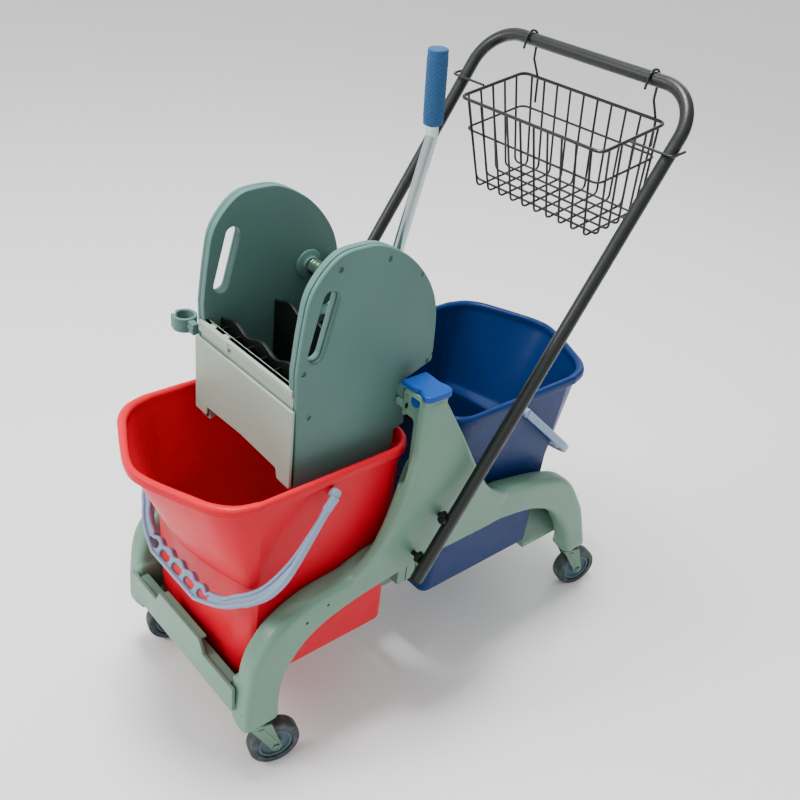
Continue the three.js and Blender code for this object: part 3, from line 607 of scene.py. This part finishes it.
# ---- push handle
def add_handle():
    corners = [(HANDLE_X, *HANDLE_FOOT), (HANDLE_X, *HANDLE_TOP), (-HANDLE_X, *HANDLE_TOP),
               (-HANDLE_X, *HANDLE_FOOT)]
    path = rounded_path(corners, HANDLE_BEND, 20)
    piece(sweep("push_handle_tube", path, HANDLE_RADIUS, 8), "chassis", "dark_paint", ["push_handle"])
    along = Vector((0, HANDLE_TOP[0] - HANDLE_FOOT[0], HANDLE_TOP[1] - HANDLE_FOOT[1])).normalized()
    for side, sign in SIGN.items():
        foot = Vector((sign * HANDLE_X, *HANDLE_FOOT))
        plug = lathe(f"handle_plug_{side}", [(0, -3.2), (6, -3.2), (9.2, -2.2), (10, -0.6), (10, 0), (0, 0)],
                     along, foot - 0.3 * along, 40)
        piece(plug, "chassis", "black_plastic", [f"handle_end_plug_{side}"])
        for level, z in BOLT_HEIGHTS.items():
            add_handle_bolt(side, level, z)


def add_handle_bolt(side, level, z):
    """Saddle spacer against the tower, a blind shank into the tube and, on the upper one, a round knob."""
    shank = lathe("shank", [(0, 0), (4, 0), (4, 35), (0, 35)], (1, 0, 0), (177, handle_y(z), z), 24)
    saddle = lathe("saddle", [(0, 0), (9.5, 0), (9, 3), (8, 8.5), (0, 8.5)], (1, 0, 0),
                   (190.2, handle_y(z), z), 32)
    bodies = [shank, saddle]
    if level == "upper":
        knob = lathe("knob", [(0, 0), (6, 0), (6.5, 1), (6.5, 8), (5.5, 9.5), (0, 10)], (0, -0.84, 0.54),
                     (HANDLE_X - 5, handle_y(z) - 7.5, z + 4), 32)
        bodies.append(knob)
    piece(joined(f"handle_screw_{side}_{level}", *bodies), "chassis", "black_plastic",
          [f"handle_bolt_{side}_{level}"], Matrix() if side == "right" else MIRROR)


# ---- casters
WHEEL_Z = 40
TRAIL = 28
CASTER_ANGLE = math.radians(-15)
FORK_TOP = 99


def caster_fork(name):
    plate_top = lathe("race", [(0, -8), (15, -8), (17, -6), (17, -2), (15.5, 0), (0, 0)], (0, 0, 1),
                      (0, 0, FORK_TOP), 48)
    bridge = block("bridge", (-16.8, 16.8), (-15, 19), (FORK_TOP - 9, FORK_TOP - 3), 2.2, 3)
    outline = rounded([(-15, FORK_TOP - 4), (19, FORK_TOP - 4), (TRAIL + 9, 39), (TRAIL + 5, 32),
                       (TRAIL - 5, 32), (TRAIL - 9, 39)], 4)
    rib = rounded([(-4, FORK_TOP - 10), (7, FORK_TOP - 10), (TRAIL + 4, 48), (TRAIL - 3, 48)], 3)
    stem = lathe("stem", [(0, 0), (6, 0), (6, 18), (5, 20), (0, 20)], (0, 0, 1), (0, 0, FORK_TOP), 24)
    bodies = [plate_top, bridge, stem]
    for sign in (-1, 1):
        bodies.append(plate("cheek", "x", outline, *sorted((sign * 14.6, sign * 17)), 0.5))
        bodies.append(plate("cheek_rib", "x", rib, *sorted((sign * 16.4, sign * 18)), 0.5))
    return joined(name, *bodies)


def caster_axle(name):
    bodies = [lathe("pin", [(0, -17), (4, -17), (4, 17), (0, 17)], (1, 0, 0), (0, TRAIL, WHEEL_Z), 24)]
    head = [(0, 0), (5.8, 0), (5.8, 1), (4.6, 2.2), (2.4, 2.4), (1.8, 1.4), (0, 1.3)]
    for sign in (-1, 1):
        bodies.append(lathe("rivet", head, (sign, 0, 0), (sign * 17.1, TRAIL, WHEEL_Z), 32))
    return joined(name, *bodies)


TYRE_PROFILE = [(29, -12), (36.5, -12), (38.4, -11.2), (39.6, -9), (40, -6), (40, 6), (39.6, 9),
                (38.4, 11.2), (36.5, 12), (29, 12)]
HUB_HALF = [(4.3, 13), (9, 13), (11, 12), (12, 9.4), (13, 6.5), (21, 6), (22.5, 7), (23.4, 10.6),
            (25.2, 11), (26.6, 10.4), (27.2, 9), (28.6, 9)]


def add_casters():
    hub_profile = [*HUB_HALF, *((r, -h) for r, h in reversed(HUB_HALF))]
    for end, y in STEM_Y.items():
        for side, sign in SIGN.items():
            place = Matrix.Translation((sign * STEM_X, y, 0)) @ Matrix.Rotation(CASTER_ANGLE, 4, "Z")
            node = f"caster_{end}_{side}"
            fork, wheel = f"fork_{end}_{side}", f"wheel_{end}_{side}"
            centre = (0, TRAIL, WHEEL_Z)
            piece(caster_fork(f"{node}_fork_press"), fork, "zinc_steel", [f"{node}_fork"], place)
            piece(caster_axle(f"{node}_axle_pin"), fork, "zinc_steel", [f"{node}_axle"], place)
            tyre = lathe(f"{node}_tyre_ring", TYRE_PROFILE, (1, 0, 0), centre, 96)
            piece(tyre, wheel, "tyre_rubber", [f"{node}_tyre"], place)
            hub = lathe(f"{node}_hub_disc", hub_profile, (1, 0, 0), centre, 96)
            piece(hub, wheel, "hub_plastic", [f"{node}_hub"], place)


# ---- buckets
BUCKET_BOTTOM = 137
WALL_TOP = 484
RIM_TOP = 499
LEDGE_LOW, LEDGE_HIGH = 330, 345
STEP_AT = 340
LIP = [(0, 1), (0.18, 0.95), (0.42, 0.81), (0.62, 0.675), (0.79, 0.55), (0.93, 0.34), (0.99, 0.07), (1, 0)]
SMALLEST_CORNER = 4
WALL = 3


def wall_level(z):
    """Outer wall at a height: half width, straight side, shoulder and tip of the lip, corner radius."""
    t = (z - BUCKET_BOTTOM) / (WALL_TOP - BUCKET_BOTTOM)
    below = min(1.0, (z - BUCKET_BOTTOM) / (STEP_AT - BUCKET_BOTTOM))
    above = max(0.0, (z - STEP_AT) / (WALL_TOP - STEP_AT))
    step = max(0.0, min(1.0, (z - LEDGE_LOW) / (LEDGE_HIGH - LEDGE_LOW)))
    lower, upper = 276 + 6 * below, 300 + 63 * above
    tip = lower + (upper - lower) * step * step * (3 - 2 * step)
    return [131 + 6 * below + 9.5 * above, 9 - t, 256 + 6 * above, tip, 16 + 24 * t]


def bucket_ring(z, level, inset=0.0):
    half, flat, shoulder, tip = (level[0] - inset, level[1] + inset, level[2] - inset, level[3] - inset)
    corner = max(SMALLEST_CORNER, level[4] - inset)
    lip = [(u * half, shoulder + v * (tip - shoulder)) for u, v in LIP]
    path = [*reversed(lip), *((-x, y) for x, y in lip[1:])]
    lip_points = spline(path, 5)
    right = arc(half - corner, flat + corner, corner, -math.pi / 2, 0, 10)
    left = arc(corner - half, flat + corner, corner, math.pi, 1.5 * math.pi, 10)
    straight = [(half, flat + corner + (shoulder - flat - corner) * k / 6) for k in range(1, 6)]
    back = [(-half, y) for _, y in reversed(straight)]
    return [Vector((x, y, z)) for x, y in (*right, *straight, *lip_points, *back, *left)]


def bucket_rings():
    bottom, top = wall_level(BUCKET_BOTTOM), wall_level(WALL_TOP)
    rings = []
    for k in range(7):                                   # rounded foot
        a = math.pi / 2 * k / 6
        rings.append(bucket_ring(BUCKET_BOTTOM + 10 - 10 * math.cos(a), bottom, 10 - 10 * math.sin(a)))
    heights = [160, 190, 220, 250, 280, 305, 322, *range(LEDGE_LOW, LEDGE_HIGH + 1, 2), 350, 370, 395, 420,
               445, 465, 478, WALL_TOP]
    rings += [bucket_ring(z, wall_level(z)) for z in heights]
    rings.append(bucket_ring(WALL_TOP + 0.3, top, -6.5))
    rings.append(bucket_ring(WALL_TOP + 1.2, top, -7.6))
    rings.append(bucket_ring(WALL_TOP + 2.5, top, -8))
    for k in range(9):                                   # rolled rim
        a = math.pi * k / 8
        rings.append(bucket_ring(RIM_TOP - 6 + 6 * math.sin(a), top, -2.5 - 5.5 * math.cos(a)))
    rings.append(bucket_ring(WALL_TOP + 2, top, WALL))
    rings += [bucket_ring(z, wall_level(z), WALL) for z in reversed(heights)]
    for k in range(7):
        a = math.pi / 2 * k / 6
        rings.append(bucket_ring(BUCKET_BOTTOM + WALL + 12 - 12 * math.sin(a), bottom,
                                 WALL + 12 - 12 * math.cos(a)))
    return rings


BAIL_PIVOT = (154, 472)          # distance from the straight side, and height
BAIL_EYE_X = 157.2
BAIL_OUTER_HALF, BAIL_INNER_HALF = 174, 160
BAIL_WEB_HALF, BAIL_BEAD, BAIL_BEAD_OFFSET = 3.2, 3.0, 3.6
BAIL_GRIP_START = 200            # distance from the pivot where the arms become the grip
BAIL_DROP = {"red": math.radians(50), "blue": math.radians(43)}
BUCKETS = {"red": (RED_FLAT_EDGE, math.pi), "blue": (BLUE_FLAT_EDGE, 0.0)}


def bucket(name):
    shell = loft("shell", bucket_rings())
    pins = [lathe("pin", [(0, 0), (7, 0), (7, 2.5), (4.5, 4), (4.5, 15), (4, 15.6), (0, 15.6)], (sign, 0, 0),
                  (sign * 145.5, *BAIL_PIVOT), 32) for sign in (-1, 1)]
    return joined(name, shell, *pins)


def bail(name):
    """Channel-section arms, and a grip with oblong holes and a scalloped inner edge."""
    outer = spline([(163, 8), (169, 52), (174.5, 105), (174, 142), (159, 177), (113, 222), (60, 245)], 7)
    outer_loop = [*outer, *((-x, s) for x, s in reversed(outer))]
    inner = spline([(159.4, 12), (162.5, 60), (160.5, 118), (144, 168), (104, 207), (74, 219)], 7)
    scallops = []
    for k in range(49):
        x = 74 - 148 * k / 48
        scallops.append((x, 220.5 - 2.2 * math.cos(2 * math.pi * x / 29.6)))
    inner_loop = [*inner[:-1], *scallops, *((-x, s) for x, s in reversed(inner[:-1]))]
    band = [*outer_loop, *reversed(inner_loop)]
    holes = []
    for x in (-68, -34, 0, 34, 68):
        s = 233.5 if abs(x) < 60 else 231.5
        holes.append([*arc(x + 7.5, s, 5.5, -math.pi / 2, math.pi / 2, 8),
                      *arc(x - 7.5, s, 5.5, math.pi / 2, 1.5 * math.pi, 8)])
    web = plate("web", "z", band, -BAIL_WEB_HALF, BAIL_WEB_HALF, 0.8, holes)

    def edge_line(loop, half, way):
        """The loop drawn in (1) or out (-1) by a bead, along the grip too."""
        return [(x * (1 - way * BAIL_BEAD / half),
                 s - way * (BAIL_BEAD if s > BAIL_GRIP_START else 0) * 0.9, 0) for x, s in loop]

    lines = (edge_line(outer_loop, BAIL_OUTER_HALF, 1), edge_line(inner_loop, BAIL_INNER_HALF, -1))
    beads = [joined("bead", *(moved(sweep("edge", line, BAIL_BEAD, 3), Matrix.Translation((0, 0, z)))
                              for z in (-BAIL_BEAD_OFFSET, BAIL_BEAD_OFFSET))) for line in lines]
    eye = [(4.8, -4.8), (7, -4.8), (7.6, -4), (7.6, 4), (7, 4.9), (0, 4.9), (0, 3.8), (4.8, 3.8)]
    eyes = [lathe("eye", eye, (sign, 0, 0), (sign * (BAIL_EYE_X + 0.6), 0, 0), 40) for sign in (-1, 1)]
    necks = [block("neck", sorted((sign * 158.5, sign * 166.5)), (3, 26), (-6.6, 6.6), 2.2, 3)
             for sign in (-1, 1)]
    return joined(name, web, *beads, *eyes, *necks)


def add_buckets():
    for colour, (edge, turn) in BUCKETS.items():
        place = Matrix.Translation((0, edge, 0)) @ Matrix.Rotation(turn, 4, "Z")
        piece(bucket(f"{colour}_bucket_shell"), f"{colour}_bucket", f"{colour}_plastic",
              [f"{colour}_bucket"], place, crease=60)
        hang = place @ Matrix.Translation((0, *BAIL_PIVOT)) @ Matrix.Rotation(-BAIL_DROP[colour], 4, "X")
        piece(bail(f"{colour}_bail_handle"), f"{colour}_bail", "bail_plastic", [f"{colour}_bail"], hang)


# ---- wringer
PANEL_INNER, PANEL_SPLIT, PANEL_OUTER = 102, 112, 120
WELL_HALF = 101.7
PANEL_FOOT = 470
SHAFT_Y, SHAFT_Z, SHAFT_RADIUS = -109, 674, 8
SHAFT_BORE = SHAFT_RADIUS + 0.3
SHAFT_HALF = 100.7
SHAFT_HUB = [(SHAFT_BORE, 9), (22, 9), (22.4, 8), (21.5, 5.5), (20, 4.6), (15, 4), (12.8, 2.4),
             (12.2, 0), (SHAFT_BORE, 0)]
SPRING_X = -76
ARM_X = 40                       # of the press arms and the lugs they push
SCREWS = [(-228, 782), (-150, 780), (-90, 746), (-61, 606), (-275, 649), (-102, 570), (-263, 580)]
SLOT_LOW, SLOT_HIGH, SLOT_HALF = Vector((-257, 672)), Vector((-238.5, 743.5)), 11.5


def panel_outline():
    top = spline([(-285, 650), (-278, 712), (-267, 760), (-233, 797), (-194, 804), (-158, 799), (-112, 773),
                  (-74, 731), (-55, 685), (-50, 617)])
    foot = rounded([(-50, 617), (-51, 603), (-66, 598), (-96, 587)], 6)[1:-6]
    return [(-279, PANEL_FOOT), *top, *foot, (-96, 587), (-90, 512), (-108, 505), (-108, PANEL_FOOT)]


def slot_loop(grow=0.0):
    lean = math.atan2(SLOT_HIGH.x - SLOT_LOW.x, SLOT_HIGH.y - SLOT_LOW.y)
    radius = SLOT_HALF + grow
    return [*arc(*SLOT_HIGH, radius, -lean, math.pi - lean, 12),
            *arc(*SLOT_LOW, radius, math.pi - lean, 2 * math.pi - lean, 12)]


def panel_cover(name):
    cover = plate(name, "x", panel_outline(), PANEL_SPLIT + 0.6, PANEL_OUTER, 2.8, [slot_loop(0.5)], 3)
    wells = [lathe("well", [(0, -2), (3.8, -2), (3.8, 5), (0, 5)], (1, 0, 0), (PANEL_OUTER, y, z), 32)
             for y, z in SCREWS]
    dish = plate("dish", "x", slot_loop(2.5), PANEL_OUTER - 1, PANEL_OUTER + 6, 0.3)
    cover = carve(cover, *wells, dish)
    tongue = block("tongue", (PANEL_OUTER - 2, 133.2), (-112, -84), (566.3, 584), 1.2)
    return joined(name, cover, tongue)


def panel_screws(name):
    """Domed screw heads with a cross recess, sunk in their wells."""
    heads = []
    for y, z in SCREWS:
        head = lathe("head", [(0, -2), (3.1, -2), (3.1, -1.6), (2.2, -1.1), (0, -0.9)], (1, 0, 0),
                     (PANEL_OUTER, y, z), 24)
        bars = [block("bar", (PANEL_OUTER - 1.6, PANEL_OUTER + 1), (y - a, y + a), (z - b, z + b), 0)
                for a, b in ((1.5, 0.35), (0.35, 1.5))]
        heads.append(carve(head, *bars))
    return joined(name, *heads)


def panel_shell(name):
    shell = plate(name, "x", panel_outline(), PANEL_INNER, PANEL_SPLIT, 1.6, [slot_loop()], 2)
    notch = block("notch", (PANEL_INNER - 5, PANEL_SPLIT + 5), (-300, -273.8), (PANEL_FOOT - 5, 625), 0)
    return carve(shell, notch)


def front_panel(name):
    """Sheet between the side panels, with a wide apron in front of them and a rail along the top."""
    half, wide = PANEL_SPLIT - 0.3, PANEL_OUTER - 0.6
    sheet_face = [(-half, 466), (24 - half, 466), (24 - half, 488), (0, 492), (half - 24, 488),
                  (half - 24, 466), (half, 466), (half, 623), (-half, 623)]
    sheet = plate("sheet", "y", rounded(sheet_face, 2.5), -283, -274.3, 1)
    apron_face = [(-wide, 474), (22 - half, 474), (25 - half, 489), (0, 493.5), (half - 25, 489),
                  (half - 22, 474), (wide, 474), (wide, 596), (-wide, 596)]
    apron = plate("apron", "y", rounded(apron_face, 3), -288.8, -284, 1.8, smooth=3)
    backing = block("backing", (-half, half), (-286, -281), (500, 592), 1)
    rail = block("rail", (-half, half), (-286.5, -274.3), (612, 623), 1.6, 3)
    slots = [block("slot", (x - 6, x + 6), (-283.4, -277.4), (616, 630), 0) for x in (-84, -50)]
    bracket = block("bracket", (-half, -36), (-287.6, -284), (606, 621), 1)
    feet = [block("foot", sorted((s * 91, s * half)), (-283, -268), (466.5, 500), 1) for s in (-1, 1)]
    return joined(name, sheet, apron, backing, carve(rail, *slots), bracket, *feet)


def press_plate(name, face_y, away, bottom, top):
    """Black plate with a wavy top edge and stiffening ribs on the side away from the mop."""
    half = WELL_HALF - 2
    wave = [(half - 2 * half * k / 32,
             top - 6 - 5 * math.cos(3 * math.pi * k / 16)) for k in range(33)]
    outline = [(-half, bottom), (half, bottom), *wave]
    sheet = plate("sheet", "y", outline, *sorted((face_y, face_y + away * 5)), 0.9)
    flange_y = sorted((face_y + away * 4, face_y + away * 9))
    flange = block("flange", (-half, half), flange_y, (bottom + 2, bottom + 6), 0.8)
    ribs = [block("rib", (x - 1.4, x + 1.4), sorted((face_y + away * 3, face_y + away * 19)),
                  (bottom + 4, top - 16), 0.5) for x in (-80, -48, -16, 16, 48, 80)]
    return joined(name, sheet, flange, *ribs)


def drain_grid(name):
    slots = []
    for row in (-236, -196, -156):
        slots += [[*arc(x, row + 13, 4, 0, math.pi, 6), *arc(x, row - 13, 4, math.pi, 2 * math.pi, 6)]
                  for x in range(-84, 85, 14)]
    return plate(name, "z", [(-WELL_HALF, -273.4), (WELL_HALF, -273.4), (WELL_HALF, -110.3),
                             (-WELL_HALF, -110.3)], 484, 490, 0.8, slots)


def press_arm(name, sign):
    reach, lean = 62, math.radians(20)
    centre = Vector((sign * ARM_X, SHAFT_Y, SHAFT_Z))
    tip = centre + Vector((0, reach * math.sin(lean), -reach * math.cos(lean)))
    boss = lathe("boss", [(SHAFT_BORE, -6), (13, -6), (14, -5), (14, 5), (13, 6), (SHAFT_BORE, 6)],
                 (1, 0, 0), centre, 40)
    side = Vector((0, math.cos(lean), math.sin(lean)))
    edge = [centre + side * 9, tip + side * 5, tip - side * 5, centre - side * 9]
    start = Vector((0, math.sin(lean), -math.cos(lean))) * 11
    edge[0] += start
    edge[3] += start
    web = plate("arm", "x", [(p.y, p.z) for p in edge], centre.x - 4.5, centre.x + 4.5, 1.5)
    roller = lathe("roller", [(0, -6), (6.2, -6), (7, -5), (7, 5), (6.2, 6), (0, 6)], (1, 0, 0), tip, 32)
    return joined(name, boss, web, roller)


def mop_clip(name):
    centre, outer, inner = (-152, -286), 18, 13
    start, end = -2.2, 2.2 + math.pi * 0.35
    ring = [*arc(*centre, outer, start, end, 40), *arc(*centre, inner, end, start, 40)]
    clip = plate("ring", "z", ring, 590, 612, 1.6, smooth=3)
    lips = []
    for angle in (start, end):
        spot = (centre[0] + 16.2 * math.cos(angle), centre[1] + 16.2 * math.sin(angle), 591)
        lips.append(lathe("lip", [(0, 0), (2.6, 0), (3.3, 0.8), (3.3, 19.2), (2.6, 20), (0, 20)],
                          (0, 0, 1), spot, 32))
    arm = block("arm", (-137, -PANEL_OUTER - 0.3), (-291, -281), (592, 610), 2, 3)
    arm_rib = block("arm_rib", (-136, -PANEL_OUTER - 0.4), (-292, -280), (598, 604), 1)
    return joined(name, clip, *lips, arm, arm_rib)


def spring_coil(name):
    turns, wire, radius, width = 8, 1.5, 11.4, 23
    count = turns * 20
    path = []
    for k in range(count + 1):
        angle = 2 * math.pi * turns * k / count
        path.append((SPRING_X - width / 2 + width * k / count,
                     SHAFT_Y + radius * math.cos(angle), SHAFT_Z + radius * math.sin(angle)))
    return sweep(name, path, wire, 3)


def add_wringer():
    for side, place in SIDES.items():
        piece(panel_cover(f"wringer_outer_{side}"), "wringer", "panel_plastic",
              [f"wringer_cover_{side}"], place)
        piece(panel_screws(f"wringer_screws_{side}"), "wringer", "panel_plastic", (), place)
        piece(panel_shell(f"wringer_inner_{side}"), "wringer", "panel_plastic",
              [f"wringer_shell_{side}"], place)
        hub = lathe(f"shaft_bush_{side}", SHAFT_HUB, (1, 0, 0), (WELL_HALF - 9, SHAFT_Y, SHAFT_Z), 64)
        piece(hub, "wringer", "panel_plastic", [f"shaft_hub_{side}"], place)
    piece(front_panel("wringer_front_moulding"), "wringer", "front_plastic", ["wringer_front_panel"])
    rear_face = [(-110, 472), (-104, 472), (-104, 589), (-60, 594), (-60, 676), (-65, 676), (-65, 599),
                 (-110, 594)]
    piece(plate("wringer_rear_moulding", "x", rear_face, -WELL_HALF, WELL_HALF, 1.2), "wringer",
          "panel_plastic", ["wringer_rear_panel"])
    piece(drain_grid("drain_floor"), "wringer", "panel_plastic", ["drain_grid"])
    piece(press_plate("press_plate_front", -254, -1, 496, 634), "wringer", "black_plastic",
          ["fixed_press_plate"])
    lugs = [block("lug", (x - 8, x + 8), (-152, -97), (600, 617), 2) for x in (-ARM_X, ARM_X)]
    moving = joined("press_plate_moving", press_plate("back_plate", -168, 1, 496, 640), *lugs)
    piece(moving, "press_plate", "black_plastic", ["moving_press_plate"])
    piece(mop_clip("mop_holder_clip"), "wringer", "panel_plastic", ["mop_clip"])
    piece(spring_coil("return_coil"), "wringer", "zinc_steel", ["return_spring"])


# ---- lever
LEVER_X = 65
LEVER_BEND = Vector((LEVER_X, -51, 908))
LEVER_TIP = Vector((LEVER_X, -58, 1016))
GRIP_START = 0.12


def lever_grip(name, start, axis):
    """Soft grip with raised diamonds, plain ends and a rolled collar at the top."""
    length, around, rows = 94, 96, 150
    turn = Matrix.Translation(start) @ turned_to(axis)
    rings = []
    for k in range(rows + 1):
        h = length * k / rows
        shoulder = min(1.0, h / 3, (length - h) / 2.5)
        base = 11.4 + 1.5 * math.sqrt(max(0.0, 1 - (1 - shoulder) ** 2))
        patterned = 1.0 if 9 < h < 84 else 0.0
        ring = []
        for i in range(around):
            angle = 2 * math.pi * i / around
            p, q = 6 * angle + h * 0.55, 6 * angle - h * 0.55
            diamond = max(0.0, min(abs(math.sin(p)), abs(math.sin(q))) * 2.2 - 0.7)
            radius = base + patterned * 0.55 * min(1.0, diamond)
            ring.append(turn @ Vector((radius * math.cos(angle), radius * math.sin(angle), h)))
        rings.append(ring)
    return loft(name, rings)


def add_lever():
    end = [(SHAFT_RADIUS, SHAFT_HALF - 0.7), (SHAFT_RADIUS - 0.6, SHAFT_HALF), (0, SHAFT_HALF)]
    profile = [*((r, -x) for r, x in reversed(end)), *end]
    shaft = lathe("press_axle", profile, (1, 0, 0), (0, SHAFT_Y, SHAFT_Z), 48)
    piece(shaft, "press_lever", "zinc_steel", ["press_shaft"])
    foot = Vector((LEVER_X, SHAFT_Y, SHAFT_Z)).lerp(LEVER_BEND, 9.0 / 240)
    grip_start = LEVER_BEND.lerp(LEVER_TIP, GRIP_START)
    tube = sweep("lever_pipe", rounded_path([foot, LEVER_BEND, grip_start], 12, 10), 8, 10)
    piece(tube, "press_lever", "chrome", ["lever_tube"])
    axis = (LEVER_TIP - LEVER_BEND).normalized()
    piece(lever_grip("lever_handgrip", grip_start + axis * 1.5, axis), "press_lever", "grip_plastic",
          ["lever_grip"], crease=45, weighted=False)
    for side, sign in SIGN.items():
        piece(press_arm(f"press_crank_{side}", sign), "press_lever", "black_plastic",
              [f"press_arm_{side}"])


# ---- wire basket
BASKET_HALF = (147, 74)
BASKET_DEPTH = 150
BASKET_TAPER = 12
BASKET_CENTRE = (0, 274.5, 888.5)
BASKET_TILT = math.radians(10.5)
RIM_WIRE, THIN_WIRE = 2.7, 1.9
CROSS_PITCH, LONG_PITCH = 28, 27
HOOK_X = 120
HOOK_WIRE = 2.0


def basket_loop(depth, inset):
    shrink = BASKET_TAPER * depth / BASKET_DEPTH + inset
    a, b = BASKET_HALF[0] - shrink, BASKET_HALF[1] - shrink
    corners = rounded([(a, b), (-a, b), (-a, -b), (a, -b)], 14, 6)
    return [(x, y, -depth) for x, y in corners]


def u_wire(name, axis, offset):
    """One wire down a side, across the bottom and up the other side."""
    k = 1 if axis == "across" else 0
    inset = RIM_WIRE
    top, low = BASKET_HALF[k] - inset, BASKET_HALF[k] - BASKET_TAPER - inset
    floor = -BASKET_DEPTH + (THIN_WIRE if axis == "across" else 3 * THIN_WIRE)
    squeeze = 1 - BASKET_TAPER / BASKET_HALF[1 - k]
    corners = [(top, -1.0), (low, floor), (-low, floor), (-top, -1.0)]

    def place(side, z):
        t = -z / BASKET_DEPTH
        drift = offset * (1 + (squeeze - 1) * t)
        return Vector((drift, side, z)) if axis == "across" else Vector((side, drift, z))

    return sweep(name, rounded_path([place(*c) for c in corners], 9, 5), THIN_WIRE, 2)


def basket_frame(name):
    wires = [
        sweep("rim", basket_loop(0, RIM_WIRE), RIM_WIRE, 3, closed=True),
        sweep("ring", basket_loop(52, THIN_WIRE * 2.4), THIN_WIRE, 2, closed=True),
    ]
    wires += [u_wire("cross_wire", "across", CROSS_PITCH * (k - 4.5)) for k in range(10)]
    wires += [u_wire("long_wire", "along", LONG_PITCH * k) for k in range(-2, 3)]
    return joined(name, *wires)


def hook_paths(sign):
    bar_y, bar_z = HANDLE_TOP
    reach = HANDLE_RADIUS + HOOK_WIRE + 1
    x = sign * HOOK_X
    over = [Vector((x, bar_y + reach * math.cos(a), bar_z + reach * math.sin(a)))
            for a in (math.pi - k * math.pi / 16 for k in range(17))]
    top = [Vector((x, bar_y - reach - 3, bar_z - 14)), *over, Vector((x, bar_y + reach, 930)),
           Vector((x, 352.5, 899)), Vector((x, 356.5, 858))]
    leg_y = handle_y(890)
    near, far = sign * (BASKET_HALF[0] + 2.5), sign * (HANDLE_X + 14.8)
    side = rounded_path([(near, leg_y - 18, 887), (far, leg_y - 18, 887), (far, leg_y + 10, 891)], 8, 8)
    return top, side


def add_basket():
    place = Matrix.Translation(BASKET_CENTRE) @ Matrix.Rotation(BASKET_TILT, 4, "X")
    piece(basket_frame("basket_wires"), "basket", "dark_paint", ["wire_basket"], place)
    for side, sign in SIGN.items():
        top, out = hook_paths(sign)
        piece(sweep(f"hanger_hook_{side}", top, HOOK_WIRE, 4), "basket", "dark_paint",
              [f"basket_hook_{side}"])
        piece(sweep(f"side_stay_{side}", out, HOOK_WIRE, 4), "basket", "dark_paint",
              [f"basket_side_hook_{side}"])


# ---- stage
LIGHTS = {                       # place, what it points at, disk size in metres, watts
    "key": ((-1.2, -2.7, 2.2), (0, 0, 0.4), 1.0, 52),
    "top": ((-0.2, -0.3, 3.2), (0, 0, 0.3), 0.8, 120),
    "rear": ((-0.8, 2.4, 2.2), (0, 0, 0.5), 1.4, 14),
}
FLOOR_HALF = 9
FLOOR_TONES = ((0.80, 0.80, 0.80, 1), (0.83, 0.83, 0.83, 1))
BRIGHTEST = Vector((-0.4, -0.5, 0.77)).normalized()
WORLD_DIM, WORLD_BRIGHT = 0.12, 1.35


def area_light(name, place, target, size, power):
    data = bpy.data.lights.new(name, "AREA")
    data.shape = "DISK"
    data.size = size
    data.energy = power
    light = bpy.data.objects.new(name, data)
    light.location = place
    light.rotation_euler = (Vector(target) - Vector(place)).to_track_quat("-Z", "Y").to_euler()
    bpy.context.scene.collection.objects.link(light)


def add_stage():
    n = Nodes("floor_look")
    n.feed("Base Color", n.mix(n.noise(3, 2), *FLOOR_TONES))
    n.feed("Roughness", 0.9)
    corners = [(x * FLOOR_HALF, y * FLOOR_HALF, 0) for x, y in ((-1, -1), (1, -1), (1, 1), (-1, 1))]
    floor = from_points("floor", corners, [(0, 1, 2, 3)])
    floor.data.materials.append(n.material)
    add_studio_world()
    for name, settings in LIGHTS.items():
        area_light(name, *settings)


def add_studio_world():
    """White surroundings, brightest to the front, the left and above, so that faces differ in tone."""
    world = bpy.data.worlds.new("studio")
    world.use_nodes = True
    tree = world.node_tree
    place = tree.nodes.new("ShaderNodeTexCoord")
    facing = tree.nodes.new("ShaderNodeVectorMath")
    facing.operation = "DOT_PRODUCT"
    facing.inputs[1].default_value = BRIGHTEST
    level = tree.nodes.new("ShaderNodeMapRange")
    span = {"From Min": -0.9, "From Max": 0.9, "To Min": WORLD_DIM, "To Max": WORLD_BRIGHT}
    for name, value in span.items():
        level.inputs[name].default_value = value
    tree.links.new(place.outputs["Generated"], facing.inputs[0])
    tree.links.new(facing.outputs["Value"], level.inputs["Value"])
    tree.links.new(level.outputs["Result"], tree.nodes["Background"].inputs["Strength"])
    tree.nodes["Background"].inputs["Color"].default_value = (1, 1, 1, 1)
    bpy.context.scene.world = world


add_camera()
LOOKS = make_materials()
add_side_frames()
add_crossbars()
add_handle()
add_casters()
add_buckets()
add_wringer()
add_lever()
add_basket()
add_stage()
